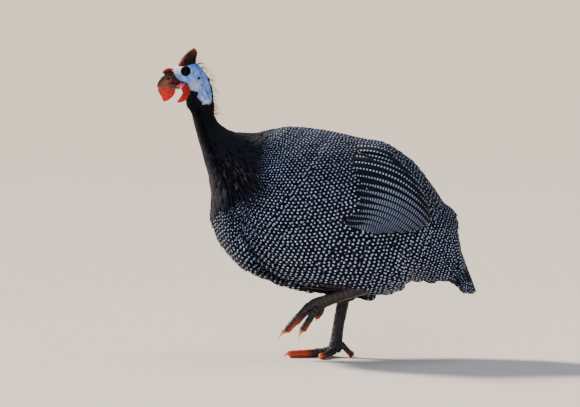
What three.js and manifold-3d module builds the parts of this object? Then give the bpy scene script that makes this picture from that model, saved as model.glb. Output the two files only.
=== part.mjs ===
// A helmeted guinea fowl, life size, in mid stride.
// It stands on its right foot and carries its left foot forward.
// Millimetres, +Z up. The bird faces -X and its left side is towards -Y.
// The sole of its right foot is at z = 0.

import * as THREE from "three";
import { mergeVertices } from "three/addons/utils/BufferGeometryUtils.js";
import Module from "manifold-3d";

const wasm = await Module();
wasm.setup();

const GAP = 0.3; // between nodes that touch
const HEAD_TURN = THREE.MathUtils.degToRad(8); // the head looks a little to the bird's left
const HEAD_PIVOT_X = -160; // the head turns about the upright axis of the upper neck
const LEFT = -1; // the bird's left side is towards -Y
const RIGHT = 1;

// The outline of the bird from the side, from the face back over the neck and body to the tail's tip.
// Each station is a slice across the bird: [back x, back z, underside x, underside z, half width].
const HEAD_STATIONS = [
  [-216, 417, -206.5, 399, 6.0],
  [-197.5, 426.5, -197, 393.5, 10.6],
  [-179, 430, -188.5, 387, 13.2],
  [-164.5, 419, -188.5, 377.5, 13.3],
  [-153.7, 399, -184, 367.3, 12.8],
];
const NECK_STATIONS = [
  [-149.2, 372.6, -180.8, 356, 12.6],
  [-147.7, 353.8, -177.6, 343, 13.4],
  [-139.2, 340, -172.5, 323.4, 16.5],
  [-121, 330, -165.6, 299.5, 23],
  [-93.5, 327.5, -158, 270.5, 33.5],
  [-67.4, 332, -153.5, 240, 46],
];
const BODY_STATIONS = [
  [-41.3, 335.7, -153, 206.6, 58],
  [-6.5, 333.8, -140.6, 170.4, 70],
  [28.3, 328.2, -109.5, 134.8, 78],
  [63, 320.5, -58.7, 111.7, 83],
  [97.9, 312.5, -0.7, 98.6, 84],
  [131.2, 292.2, 54.4, 90.6, 80],
  [158.8, 261.7, 100.8, 95.7, 70],
  [179, 233.5, 134.1, 110.2, 56],
];
const TAIL_STATIONS = [
  [197.2, 213.9, 164.6, 111.9, 43],
  [204.5, 183.4, 190.7, 111.2, 35],
  [209.5, 157.3, 203.7, 106.6, 30],
  [219.5, 128, 209, 99.5, 24],
  [230, 101, 216, 95, 15],
];
const STATIONS = [...HEAD_STATIONS, ...NECK_STATIONS, ...BODY_STATIONS, ...TAIL_STATIONS];
const NECK_START = HEAD_STATIONS.length - 0.5;
const TORSO_START = NECK_START + NECK_STATIONS.length - 0.5;
const TAIL_START = STATIONS.length - TAIL_STATIONS.length - 0.5;
const SECTION_SAG = 0.18; // how far the widest level sits below the middle of a slice
const SECTION_SIDES = 24;
const TURN_EASE = 2.5; // the stations over which the neck takes up the head's turn

const backCurve = new THREE.CatmullRomCurve3(
  STATIONS.map(([x, z, , , width]) => new THREE.Vector3(x, z, width)),
  false,
  "catmullrom",
);
const underCurve = new THREE.CatmullRomCurve3(
  STATIONS.map(([, , x, z]) => new THREE.Vector3(x, z, 0)),
  false,
  "catmullrom",
);

// The back, the underside and the half width at station u.
function slice(u) {
  const t = THREE.MathUtils.clamp(u / (STATIONS.length - 1), 0, 1);
  const back = backCurve.getPoint(t);
  const under = underCurve.getPoint(t);
  return { back, under, halfWidth: back.z };
}

// A point on the skin at station u.
// The angle is 0 on the back, a quarter turn on the left side and half a turn below.
function skinAt(u, angle) {
  const { back, under, halfWidth } = slice(u);
  const drop = (1 - Math.cos(angle)) / 2;
  const f = drop + SECTION_SAG * drop * (1 - drop);
  return new THREE.Vector3(
    back.x + f * (under.x - back.x),
    LEFT * halfWidth * Math.sin(angle),
    back.y + f * (under.y - back.y),
  );
}

// The skin's outward normal.
function normalAt(u, angle) {
  const step = 0.01; // in stations, and in radians
  const along = skinAt(u + step, angle).sub(skinAt(u - step, angle));
  const round = skinAt(u, angle + step).sub(skinAt(u, angle - step));
  return round.cross(along).normalize();
}

function skinPoint(u, angle, lift = 0) {
  return skinAt(u, angle).addScaledVector(normalAt(u, angle), lift);
}

// The angle round the body of a place that lies a share f down the slice, as seen from the left side.
function angleOf(f) {
  const root = 1 + SECTION_SAG;
  const drop = (root - Math.sqrt(root * root - 4 * SECTION_SAG * f)) / (2 * SECTION_SAG);
  return Math.acos(1 - 2 * drop);
}

// How much of the head's turn the skin has taken up at station u.
function turnAt(u) {
  const from = HEAD_STATIONS.length;
  const ease = THREE.MathUtils.smoothstep(u, from, from + TURN_EASE);
  return HEAD_TURN * (1 - ease);
}

function turned(point, angle) {
  const pivot = new THREE.Vector3(HEAD_PIVOT_X, 0, 0);
  return point.sub(pivot).applyAxisAngle(new THREE.Vector3(0, 0, 1), angle).add(pivot);
}

// Solids

// One closed geometry from rings of equal count, with flat ends.
function loft(rings) {
  const count = rings[0].length;
  const middle = (ring) =>
    ring.reduce((sum, p) => sum.add(p), new THREE.Vector3()).divideScalar(ring.length);
  const points = [...rings.flat(), middle(rings[0]), middle(rings.at(-1))];
  const first = points.length - 2;
  const lastRing = (rings.length - 1) * count;
  const faces = [];
  for (let i = 0; i < count; i++) {
    const j = (i + 1) % count;
    faces.push(first, j, i, first + 1, lastRing + i, lastRing + j);
    for (let r = 0; r < rings.length - 1; r++) {
      const a = r * count;
      const b = a + count;
      faces.push(a + i, a + j, b + j, a + i, b + j, b + i);
    }
  }
  const geometry = new THREE.BufferGeometry().setFromPoints(points);
  geometry.setIndex(faces);
  return geometry;
}

const WELD = 1e-4; // corners closer than this are one

// A solid from a closed geometry, turned right side out where its faces wind the wrong way.
function solidOf(geometry) {
  const bare = new THREE.BufferGeometry();
  bare.setAttribute("position", geometry.getAttribute("position"));
  bare.setIndex(geometry.index);
  const merged = mergeVertices(bare, WELD);
  const triVerts = new Uint32Array(merged.index.array);
  const vertProperties = merged.attributes.position.array;
  const made = new wasm.Manifold(new wasm.Mesh({ numProp: 3, vertProperties, triVerts }));
  if (made.volume() > 0) return made;
  for (let i = 0; i < triVerts.length; i += 3) {
    [triVerts[i + 1], triVerts[i + 2]] = [triVerts[i + 2], triVerts[i + 1]];
  }
  return new wasm.Manifold(new wasm.Mesh({ numProp: 3, vertProperties, triVerts }));
}

const loftSolid = (rings) => solidOf(loft(rings));
const union = (solids) => solids.reduce((whole, piece) => whole.add(piece));
const largest = (made) => made.decompose().reduce((a, b) => (b.volume() > a.volume() ? b : a));

function geometryOf(made) {
  const { vertProperties, triVerts } = made.getMesh();
  const geometry = new THREE.BufferGeometry();
  geometry.setAttribute("position", new THREE.BufferAttribute(vertProperties, 3));
  geometry.setIndex(new THREE.BufferAttribute(triVerts, 1));
  geometry.computeVertexNormals();
  return geometry;
}

const model = new THREE.Group();

function addNode(name, made, material) {
  const mesh = new THREE.Mesh(geometryOf(largest(made)), material);
  mesh.name = name;
  model.add(mesh);
}

// An ellipsoid, turned by Euler angles about X, Y and Z.
function ellipsoid(at, radii, turn = [0, 0, 0], sides = 12, levels = 8) {
  const geometry = new THREE.SphereGeometry(1, sides, levels);
  geometry.scale(...radii);
  geometry.applyMatrix4(new THREE.Matrix4().makeRotationFromEuler(new THREE.Euler(...turn)));
  geometry.translate(...at);
  return solidOf(geometry);
}

const PLATE_EDGE = 0.04; // the share of a plate over which its step rises

// A round limb along a smooth line. Each stop is [x, y, z, half width, half depth].
// The width lies across `up`. With plates, the limb is stepped like a row of overlapping scutes
// on the side that faces `up`.
function limb(stops, up, { sides = 10, rings = 8, plates = 0, plateStep = 0 } = {}) {
  const line = new THREE.CatmullRomCurve3(stops.map(([x, y, z]) => new THREE.Vector3(x, y, z)));
  const sizes = new THREE.CatmullRomCurve3(
    stops.map(([, , , wide, deep]) => new THREE.Vector3(wide, deep, 0)),
  );
  const places = [];
  if (plates) {
    for (let i = 0; i < plates; i++) {
      places.push([(i + PLATE_EDGE) / plates, plateStep]);
      places.push([(i + 1 - PLATE_EDGE) / plates, 0]);
    }
  } else {
    for (let i = 0; i <= rings; i++) places.push([i / rings, 0]);
  }
  const made = places.map(([t, step]) => {
    const at = line.getPoint(t);
    const size = sizes.getPoint(t);
    const along = line.getTangent(t);
    const over = up.clone().addScaledVector(along, -up.dot(along)).normalize();
    const across = new THREE.Vector3().crossVectors(along, over);
    return Array.from({ length: sides }, (_, i) => {
      const angle = (2 * Math.PI * i) / sides;
      const raised = step * Math.max(0, Math.cos(angle));
      return at
        .clone()
        .addScaledVector(over, (size.y + raised) * Math.cos(angle))
        .addScaledVector(across, size.x * Math.sin(angle));
    });
  });
  return loftSolid(made);
}

// Finishes

const finish = (color, roughness) => new THREE.MeshStandardMaterial({ color, roughness });
const plumage = finish(0x17181c, 0.7);
const collar = finish(0x1d1b22, 0.65);
const bareSkin = finish(0xa9c7ea, 0.5);
const horn = finish(0x6b3a2a, 0.55);
const billHorn = finish(0x8a6a58, 0.45);
const wattleSkin = finish(0xd22a1e, 0.5);
const eyeball = finish(0x140d09, 0.1);
const legScale = finish(0x37322f, 0.6);
const clawHorn = finish(0xd9a468, 0.4);

// Head, neck, torso and tail, one skin parted by flat cuts

const RING_STEP = 0.5;

function skinRing(u, lift = 0) {
  return Array.from({ length: SECTION_SIDES }, (_, i) => {
    const angle = (2 * Math.PI * i) / SECTION_SIDES;
    return turned(skinPoint(u, angle, lift), turnAt(u));
  });
}

// A flat end that stands half a gap short of the cut at station u.
// Way is +1 for a start and -1 for an end.
function cutRing(u, way) {
  const ring = skinRing(u);
  const facing = new THREE.Vector3()
    .subVectors(ring[SECTION_SIDES / 4], ring[0])
    .cross(new THREE.Vector3().subVectors(ring[SECTION_SIDES / 2], ring[0]))
    .normalize();
  const onward = new THREE.Vector3().subVectors(skinAt(u + 0.1, 0), skinAt(u, 0));
  const side = Math.sign(facing.dot(onward)) * way * (GAP / 2);
  return ring.map((p) => p.addScaledVector(facing, side));
}

function skinRings(from, to) {
  const count = Math.round((to - from) / RING_STEP);
  return Array.from({ length: count + 1 }, (_, i) => from + ((to - from) * i) / count);
}

function skinSolid(from, to, { lift = 0, startCut = false, endCut = false } = {}) {
  const places = skinRings(from, to);
  return loftSolid(
    places.map((u, i) => {
      if (i === 0 && startCut) return cutRing(u, 1);
      if (i === places.length - 1 && endCut) return cutRing(u, -1);
      return skinRing(u, lift);
    }),
  );
}

const headSkin = skinSolid(0, NECK_START, { endCut: true });
const headClear = skinSolid(0, NECK_START, { lift: GAP });
const neck = skinSolid(NECK_START, TORSO_START, { startCut: true, endCut: true });
const torso = skinSolid(TORSO_START, TAIL_START, { startCut: true, endCut: true });
const bodyClear = skinSolid(TORSO_START - 1, STATIONS.length - 1, { lift: GAP });

addNode("neck", neck, collar);
addNode("torso", torso, plumage);

// Feathers

const VANE_THICK = 1.0;
const VANE_STEPS = 4;
const VANE_ROOT = 0.55; // the share of its full width that a vane has at its root
const VANE_FULL = 0.56; // how far along it a vane reaches its full width
const VANE_ROUND = 0.38; // the share of its length that is rounded off at the tip
const VANE_TIP = 0.16; // the share of its width that a vane keeps at its very tip
const VANE_TAPER = 0.4; // how much thinner a vane is at its tip
const TANGENT_STEP = 0.05;
const HALVINGS = 24; // enough to find a station to within a thousandth of a millimetre

// The station and angle of the place on the left side that shows at (x, z) in the side view.
function sideAt(x, z) {
  const off = (u) => {
    const { back, under } = slice(u);
    return (under.x - back.x) * (z - back.y) - (under.y - back.y) * (x - back.x);
  };
  let low = NECK_START;
  let high = STATIONS.length - 1;
  for (let i = 0; i < HALVINGS; i++) {
    const mid = (low + high) / 2;
    if (off(mid) > 0) low = mid;
    else high = mid;
  }
  const { back, under } = slice(low);
  const line = new THREE.Vector2(under.x - back.x, under.y - back.y);
  const f = new THREE.Vector2(x - back.x, z - back.y).dot(line) / line.lengthSq();
  return [low, angleOf(THREE.MathUtils.clamp(f, 0.001, 0.999))];
}

// One flat vane, laid over the skin along route(t), which gives a station and an angle.
// It is widest past its middle and rounded at its tip. Lift is its height over the skin at its root,
// on the way and at its tip. Slope(t) says how steeply it leans, so that one edge lies over its
// neighbour. Both faces are split into triangles alike.
function vane({ route, width, lift, slope, side = LEFT }) {
  const lifts = new THREE.QuadraticBezierCurve(
    new THREE.Vector2(0, lift[0]),
    new THREE.Vector2(0, lift[1]),
    new THREE.Vector2(0, lift[2]),
  );
  const spine = (t) => {
    const [u, angle] = route(t);
    return skinPoint(u, -side * angle, lifts.getPoint(t).y);
  };
  const points = [];
  for (let k = 0; k <= VANE_STEPS; k++) {
    const t = k / VANE_STEPS;
    const [u, angle] = route(t);
    const up = normalAt(u, -side * angle);
    const along = spine(Math.min(1, t + TANGENT_STEP)).sub(spine(Math.max(0, t - TANGENT_STEP)));
    const across = new THREE.Vector3().crossVectors(along, up).normalize();
    const grown = VANE_ROOT + (1 - VANE_ROOT) * Math.sin((Math.PI / 2) * Math.min(1, t / VANE_FULL));
    const pastFull = Math.max(0, t - (1 - VANE_ROUND)) / VANE_ROUND;
    const rounded = Math.sqrt(Math.max(0, 1 - pastFull ** 2));
    const half = (width / 2) * grown * Math.max(VANE_TIP, rounded);
    const deep = (VANE_THICK / 2) * (1 - VANE_TAPER * t);
    for (const way of [-1, 1]) {
      for (const face of [1, -1]) {
        const height = face * deep + way * slope(t) * half;
        points.push(spine(t).addScaledVector(across, way * half).addScaledVector(up, height));
      }
    }
  }
  const faces = [];
  for (let k = 0; k < VANE_STEPS; k++) {
    const a = 4 * k;
    const b = a + 4;
    faces.push(a, a + 2, b + 2, a, b + 2, b);
    faces.push(a + 1, b + 3, a + 3, a + 1, b + 1, b + 3);
    faces.push(a, b, b + 1, a, b + 1, a + 1);
    faces.push(a + 2, a + 3, b + 3, a + 2, b + 3, b + 2);
  }
  const z = 4 * VANE_STEPS;
  faces.push(0, 1, 3, 0, 3, 2, z, z + 2, z + 3, z, z + 3, z + 1);
  const geometry = new THREE.BufferGeometry().setFromPoints(points);
  geometry.setIndex(faces);
  return solidOf(geometry);
}

// Tail: a core to half way, then the tail feathers, two tiers of coverts over them and one under them

const TAIL_CORE_END = TAIL_START + 2.1;
const TAIL_CORE_SINK = 2.2;
const TAIL_FAN = 0.35; // how many stations the outermost feathers end before the middle one
const MOST_LEAN = 0.32;
const TAIL_TIERS = [
  { count: 9, from: 20.0, to: 23, spread: 1.5, middle: 0, width: 15, lift: [-5, -2.4, -0.8] },
  { count: 6, from: 19.0, to: 21.5, spread: 1.45, middle: 0, width: 20, lift: [-5, 2.2, 2.8] },
  { count: 5, from: 19.2, to: 21.9, spread: 1.1, middle: Math.PI, width: 18, lift: [-4, -1, -0.6] },
];

// How steeply the vanes of a row lean to clear one another, for the distance between neighbours.
const leanFor = (distance) => Math.min(MOST_LEAN, (VANE_THICK + GAP) / Math.max(distance, 1));

function tailVanes({ count, from, to, spread, middle, width, lift }) {
  const routeOf = (share) => {
    const tip = to - TAIL_FAN * share * share;
    return (t) => [THREE.MathUtils.lerp(from, tip, t), middle + share * spread];
  };
  return Array.from({ length: count }, (_, i) => {
    const share = (2 * i) / (count - 1) - 1;
    const route = routeOf(share);
    const beside = routeOf(share - 2 / (count - 1));
    const slope = (t) => {
      const distance = skinPoint(...route(t)).distanceTo(skinPoint(...beside(t)));
      return Math.sign(share) * leanFor(distance);
    };
    const over = i === (count - 1) / 2 ? VANE_THICK + GAP : 0;
    return vane({ route, width, lift: lift.map((l) => l + over), slope });
  });
}

const tailCore = skinSolid(TAIL_START, TAIL_CORE_END, { startCut: true, lift: -TAIL_CORE_SINK });
addNode("tail", union([tailCore, ...TAIL_TIERS.flatMap(tailVanes)]), plumage);

// Head, with lids, ear cups, the fleshy knobs above the bill and the corner of the mouth

const EYE = { x: -190.8, z: 417.7, y: 9.2, radius: 5.4 };
const LID = { radius: 5.0, thick: 1.5, out: 2.9 };
const EAR = { x: -169.5, z: 407.8, y: 12.6, radius: 2.1, rim: 1.1, rimIn: 0.6, deep: 3 };
const KNOBS = [
  [-214.5, 3.6, 416, 4.2],
  [-217.5, 2.6, 411.5, 3.2],
  [-210, 5.6, 411, 4.4],
];
const KNOB_FLATNESS = 0.8;
const RIM_TOE_IN = 0.12; // how far the lids and ear rims turn towards the bill
const MOUTH = { from: [-207, 398], to: [-197, 399.5], open: 0.7, across: 40 };

const headTurn = new THREE.Matrix4()
  .makeTranslation(HEAD_PIVOT_X, 0, 0)
  .multiply(new THREE.Matrix4().makeRotationZ(HEAD_TURN))
  .multiply(new THREE.Matrix4().makeTranslation(-HEAD_PIVOT_X, 0, 0));
const turnedSolid = (made) => made.transform(headTurn.elements);

function ringSolid(at, radius, thick, side) {
  const geometry = new THREE.TorusGeometry(radius, thick, 4, 10);
  geometry.rotateX(Math.PI / 2);
  geometry.rotateZ(side * RIM_TOE_IN);
  geometry.translate(at[0], side * at[1], at[2]);
  return solidOf(geometry);
}

const headParts = [];
const headHoles = [];
const eyes = [];
for (const side of [LEFT, RIGHT]) {
  headParts.push(ringSolid([EYE.x, EYE.y + LID.out, EYE.z], LID.radius, LID.thick, side));
  headParts.push(ringSolid([EAR.x, EAR.y - EAR.rimIn, EAR.z], EAR.radius, EAR.rim, side));
  for (const [x, y, z, radius] of KNOBS) {
    const radii = [radius, radius * KNOB_FLATNESS, radius];
    headParts.push(ellipsoid([x, side * y, z], radii, [0, 0, 0], 7, 5));
  }
  const eyeAt = [EYE.x, side * EYE.y, EYE.z];
  const socket = EYE.radius + GAP;
  headHoles.push(ellipsoid(eyeAt, [socket, socket, socket], [Math.PI / 2, 0, 0], 12, 8));
  const earAt = [EAR.x, side * EAR.y, EAR.z];
  headHoles.push(ellipsoid(earAt, [EAR.radius * 0.8, EAR.deep, EAR.radius], [0, 0, 0], 8, 6));
  eyes.push(ellipsoid(eyeAt, [EYE.radius, EYE.radius, EYE.radius], [Math.PI / 2, 0, 0], 12, 8));
}
const mouthMid = [(MOUTH.from[0] + MOUTH.to[0]) / 2, (MOUTH.from[1] + MOUTH.to[1]) / 2];
const mouth = new THREE.BoxGeometry(MOUTH.to[0] - MOUTH.from[0], MOUTH.across, MOUTH.open);
mouth.rotateY(-Math.atan2(MOUTH.to[1] - MOUTH.from[1], MOUTH.to[0] - MOUTH.from[0]));
mouth.translate(mouthMid[0], 0, mouthMid[1]);

let head = union([headSkin, ...headParts.map(turnedSolid)]);
for (const hole of [...headHoles, solidOf(mouth)]) head = head.subtract(turnedSolid(hole));
addNode("head", head, bareSkin);
addNode("eye_left", turnedSolid(eyes[0]), eyeball);
addNode("eye_right", turnedSolid(eyes[1]), eyeball);

// A form in the head's own frame, from slices like those of the skin:
// [top x, top z, bottom x, bottom z, half width]. Grow makes every slice that much wider.
function sliceLoft(stops, steps, grow = 0) {
  const sides = 12;
  const top = new THREE.CatmullRomCurve3(stops.map(([x, z, , , w]) => new THREE.Vector3(x, z, w)));
  const bottom = new THREE.CatmullRomCurve3(stops.map(([, , x, z]) => new THREE.Vector3(x, z, 0)));
  const rings = Array.from({ length: steps + 1 }, (_, k) => {
    const a = top.getPoint(k / steps);
    const b = bottom.getPoint(k / steps);
    return Array.from({ length: sides }, (_, i) => {
      const angle = (2 * Math.PI * i) / sides;
      const f = (1 - Math.cos(angle)) / 2;
      const y = LEFT * (a.z + grow) * Math.sin(angle);
      return new THREE.Vector3(a.x + f * (b.x - a.x), y, a.y + f * (b.y - a.y));
    });
  });
  return loftSolid(rings);
}

// Casque: the horny helmet that leans back over the crown
const CASQUE_STOPS = [
  [-204, 419, -173, 417, 7.4],
  [-197.4, 432.1, -174.5, 432, 6.6],
  [-192.2, 439.4, -173, 440, 5.4],
  [-185.8, 445.6, -173, 445, 4.2],
  [-181, 449.2, -174.5, 448.4, 2.6],
  [-178.8, 450.4, -176.4, 450.2, 0.9],
];
const headKeepOut = union([headClear, ...headParts.map(turnedSolid)]);
const casque = turnedSolid(sliceLoft(CASQUE_STOPS, 8)).subtract(headKeepOut);
addNode("casque", casque, horn);

// Bill: both halves, with the line of the mouth between them and a nostril on each side
const UPPER_BILL_STOPS = [
  [-213.5, 419, -199, 397, 7.0],
  [-220, 411.5, -211, 394.6, 5.8],
  [-226.3, 404.5, -218.6, 393, 4.3],
  [-229.3, 398, -224.8, 392, 2.6],
  [-230.2, 391.8, -228.4, 389.8, 0.9],
];
const LOWER_BILL_STOPS = [
  [-199, 396, -199, 388, 5.8],
  [-211, 393.8, -209.5, 387.6, 4.8],
  [-218.6, 392.2, -216.5, 388.3, 3.5],
  [-224.8, 391.1, -223.2, 389.3, 1.6],
];
const BILL_STEPS = 7;
const NOSTRIL = { x: -214.6, y: 5.6, z: 406, radii: [1.9, 1.8, 0.9], slant: 0.6 };
let upperBill = turnedSolid(sliceLoft(UPPER_BILL_STOPS, BILL_STEPS)).subtract(headKeepOut);
for (const side of [LEFT, RIGHT]) {
  const at = [NOSTRIL.x, side * NOSTRIL.y, NOSTRIL.z];
  const hole = ellipsoid(at, NOSTRIL.radii, [0, NOSTRIL.slant, 0], 8, 6);
  upperBill = upperBill.subtract(turnedSolid(hole));
}
const lowerBill = turnedSolid(sliceLoft(LOWER_BILL_STOPS, BILL_STEPS)).subtract(headKeepOut);
addNode("bill_upper", upperBill, billHorn);
addNode("bill_lower", lowerBill, billHorn);

// Wattles: a fleshy flap at each corner of the mouth.
// The left one is hooked back, the right one swung forward.
const WATTLE_LEFT_STOPS = [
  [-196, -9.5, 400, 4.4, 1.8],
  [-191.8, -13.2, 393.5, 5.0, 1.8],
  [-191.4, -15.2, 386.5, 4.9, 1.6],
  [-194.8, -15.6, 380.3, 4.0, 1.3],
  [-199.3, -15.4, 375.8, 2.4, 1.0],
  [-202.3, -15.2, 373.5, 0.9, 0.7],
];
const WATTLE_RIGHT_STOPS = [
  [-203, 8.8, 400, 5.0, 1.8],
  [-210, 11.5, 392.5, 10.4, 1.8],
  [-212.8, 12.6, 385.5, 10.2, 1.6],
  [-213.2, 13, 379.5, 5.6, 1.3],
  [-215.4, 13, 373.4, 0.9, 0.7],
];
const wattleUp = new THREE.Vector3(0, 1, 0);
const neckClear = skinSolid(NECK_START, TORSO_START, { lift: GAP });
const lowerBillClear = LOWER_BILL_STOPS.map(([a, b, c, d, wide]) => [a, b, c, d - GAP, wide]);
const wattleKeepOut = union([
  headKeepOut,
  neckClear,
  turnedSolid(sliceLoft(UPPER_BILL_STOPS, BILL_STEPS, GAP)),
  turnedSolid(sliceLoft(lowerBillClear, BILL_STEPS, GAP)),
]);
for (const [name, stops] of [
  ["wattle_left", WATTLE_LEFT_STOPS],
  ["wattle_right", WATTLE_RIGHT_STOPS],
]) {
  const flap = turnedSolid(limb(stops, wattleUp, { sides: 8, rings: 8 }));
  addNode(name, flap.subtract(wattleKeepOut), wattleSkin);
}

// Wings: a thin core over each flank carries the flight feathers and three tiers of coverts.
// Each line is given in the side view as [x, z] places, from the upper feather to the lower one.

const WING_CORE = {
  from: 12.7,
  to: 16.4,
  top: [0.1, 0.12], // shares of the way down the slice, at the front and at the rear
  bottom: [0.5, 0.42],
  thick: 3.2,
  edge: 0.8,
  sink: 2,
  steps: 8,
  across: 5,
};
const WING_TIERS = {
  primaries: {
    count: 3,
    width: 16,
    roots: [[70, 240], [64, 216]],
    tips: [[158, 216], [157, 208], [152, 200]],
    lift: [0.8, 1.6, 1.4],
  },
  secondaries: {
    count: 8,
    width: 22,
    roots: [[36, 306], [34, 262], [32, 216]],
    tips: [[114, 290], [149, 248], [155, 214], [138, 200], [98, 194]],
    lift: [1.2, 4.4, 3.6],
  },
  greater: {
    count: 7,
    width: 22,
    roots: [[8, 306], [8, 262], [10, 217]],
    tips: [[68, 302], [76, 252], [68, 200]],
    lift: [1.2, 5.6, 6.2],
  },
  median: {
    count: 6,
    width: 22,
    roots: [[-20, 304], [-20, 266], [-16, 222]],
    tips: [[26, 304], [32, 254], [26, 206]],
    lift: [1.2, 5.6, 7.4],
  },
  lesser: {
    count: 5,
    width: 21,
    roots: [[-46, 296], [-50, 266], [-44, 232]],
    tips: [[-8, 302], [-4, 258], [-10, 214]],
    lift: [1.2, 5.6, 7.4],
  },
};

const lineOf = (places) =>
  new THREE.CatmullRomCurve3(places.map(([x, z]) => new THREE.Vector3(x, 0, z)));

function wingVanes({ count, width, roots, tips, lift }, side) {
  const rootLine = lineOf(roots);
  const tipLine = lineOf(tips);
  return Array.from({ length: count }, (_, i) => {
    const share = i / (count - 1);
    const root = rootLine.getPoint(share);
    const tip = tipLine.getPoint(share);
    const route = (t) => {
      const at = new THREE.Vector3().lerpVectors(root, tip, t);
      return sideAt(at.x, at.z);
    };
    const rootStep = rootLine.getLength() / (count - 1);
    const tipStep = tipLine.getLength() / (count - 1);
    const slope = (t) => side * leanFor(THREE.MathUtils.lerp(rootStep, tipStep, t));
    return vane({ route, width, lift, slope, side });
  });
}

function wingCore(side) {
  const { steps, across, edge, thick } = WING_CORE;
  const rings = [];
  for (let k = 0; k <= steps; k++) {
    const t = k / steps;
    const u = THREE.MathUtils.lerp(WING_CORE.from, WING_CORE.to, t);
    const top = THREE.MathUtils.lerp(...WING_CORE.top, t);
    const bottom = THREE.MathUtils.lerp(...WING_CORE.bottom, t);
    const middle = (top + bottom) / 2;
    const swell = Math.sin(Math.PI * (0.1 + 0.8 * t)) ** 0.5;
    const outer = [];
    const inner = [];
    for (let i = 0; i <= across; i++) {
      const s = -1 + (2 * i) / across;
      const angle = -side * angleOf(middle + ((bottom - top) / 2) * s);
      const lift = edge + (thick - edge) * swell * (1 - s ** 4);
      outer.push(skinPoint(u, angle, lift));
      inner.unshift(skinPoint(u, angle, -WING_CORE.sink));
    }
    rings.push([...outer, ...inner]);
  }
  return loftSolid(rings);
}

for (const [name, side] of [["wing_left", LEFT], ["wing_right", RIGHT]]) {
  const vanes = Object.values(WING_TIERS).flatMap((tier) => wingVanes(tier, side));
  addNode(name, union([wingCore(side), ...vanes]).subtract(bodyClear), plumage);
}

// Legs

const UP = new THREE.Vector3(0, 0, 1);
const FORWARD = new THREE.Vector3(-1, 0, 0);
const FLOOR = { across: 400, deep: 60 };
const floor = solidOf(
  new THREE.BoxGeometry(FLOOR.across, FLOOR.across, FLOOR.deep).translate(0, 0, -FLOOR.deep / 2),
);

// The right leg stands. The left one swings forward with its toes hanging.
const LEGS = {
  left: {
    thigh: [
      [28, -40, 160, 30, 34],
      [42, -41, 128, 25, 30],
      [54, -38, 108, 14, 17],
      [57, -36, 101, 8, 9],
    ],
    shank: [
      [58, -36, 101, 6.8, 8.6],
      [37, -31, 93.8, 5.6, 7.6],
      [15, -26, 85, 5.0, 7.4],
      [2, -23, 79.4, 5.6, 7.8],
      [-5, -21.5, 76, 6.4, 8.0],
    ],
  },
  right: {
    thigh: [
      [22, 34, 160, 28, 32],
      [36, 30, 128, 23, 27],
      [42, 23, 106, 13, 15],
      [41, 20, 94, 8, 9],
    ],
    shank: [
      [41, 20, 93, 7.0, 9.2],
      [38.5, 18, 78, 5.6, 7.2],
      [32, 12.5, 47, 4.8, 6.6],
      [29.6, 8.5, 26, 5.6, 7.2],
      [28, 6, 12, 6.6, 8.0],
    ],
  },
};
const TOES = {
  left: {
    inner: {
      line: [[-8, -15, 74], [-18, -10.5, 64.5], [-28.5, -8.5, 53]],
      claw: [-36, -8, 42],
    },
    middle: {
      line: [[-10, -21, 76.5], [-18, -21, 69.5], [-31, -21, 55.5], [-41.5, -21, 43.5]],
      claw: [-55.4, -21, 29.3],
    },
    outer: {
      line: [[-2, -28, 72], [-10, -31.5, 59], [-18.7, -34, 45.8]],
      claw: [-26.5, -34.5, 31.6],
    },
    hind: { line: [[7, -20, 72], [1.8, -18, 61.5]], claw: [-1.2, -17.5, 53.8] },
  },
  right: {
    inner: {
      line: [[22.5, -1.5, 9.5], [15, -12.5, 4.6], [8, -23, 3.8]],
      claw: [3.2, -31, 0.7],
    },
    middle: {
      line: [[19, 5, 11.5], [4, 2.6, 6], [-16, -0.4, 4.6], [-35.5, -3, 4.5]],
      claw: [-47.6, -4.5, 0.7],
    },
    outer: {
      line: [[22, 13, 9.5], [11, 24.5, 4.6], [1.5, 34.5, 3.8]],
      claw: [-4.5, 41, 0.7],
    },
    hind: { line: [[36, 6, 18.5], [44, 5.5, 10.5], [50.4, 5, 2.9]], claw: [55.2, 5, 0.7] },
  },
};
const TOE_SIZE = {
  inner: { base: 4.7, tip: 4.1, plates: 4 },
  middle: { base: 5.3, tip: 4.8, plates: 7 },
  outer: { base: 4.7, tip: 4.1, plates: 4 },
  hind: { base: 3.7, tip: 3.2, plates: 3 },
};
const TOE_ORDER = ["middle", "inner", "outer", "hind"]; // each is cut clear of the ones before it
const TOE_SINK = 3; // how far a toe starts inside the foot's pad
const TOE_END = { past: 0.75, blunt: 0.55 }; // the rounded end, in shares of the tip's radius
const CLAW = { thick: 2.1, tip: 0.45, hook: 2.4 };
const PAD_RADII = [7.4, 7, 6.6];
const SHANK_PLATES = 10;
const PLATE_STEP = 0.45;
const shankShape = { sides: 10, plates: SHANK_PLATES, plateStep: PLATE_STEP };
const thighShape = { sides: 16, rings: 8 };

const grownBy = (stops, more) =>
  stops.map(([x, y, z, wide, deep]) => [x, y, z, wide + more, deep + more]);

// The place a distance on from a towards b.
const toward = (a, b, distance) => {
  const from = new THREE.Vector3(...a);
  const way = new THREE.Vector3(...b).sub(from).normalize();
  return from.addScaledVector(way, distance).toArray();
};

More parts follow.
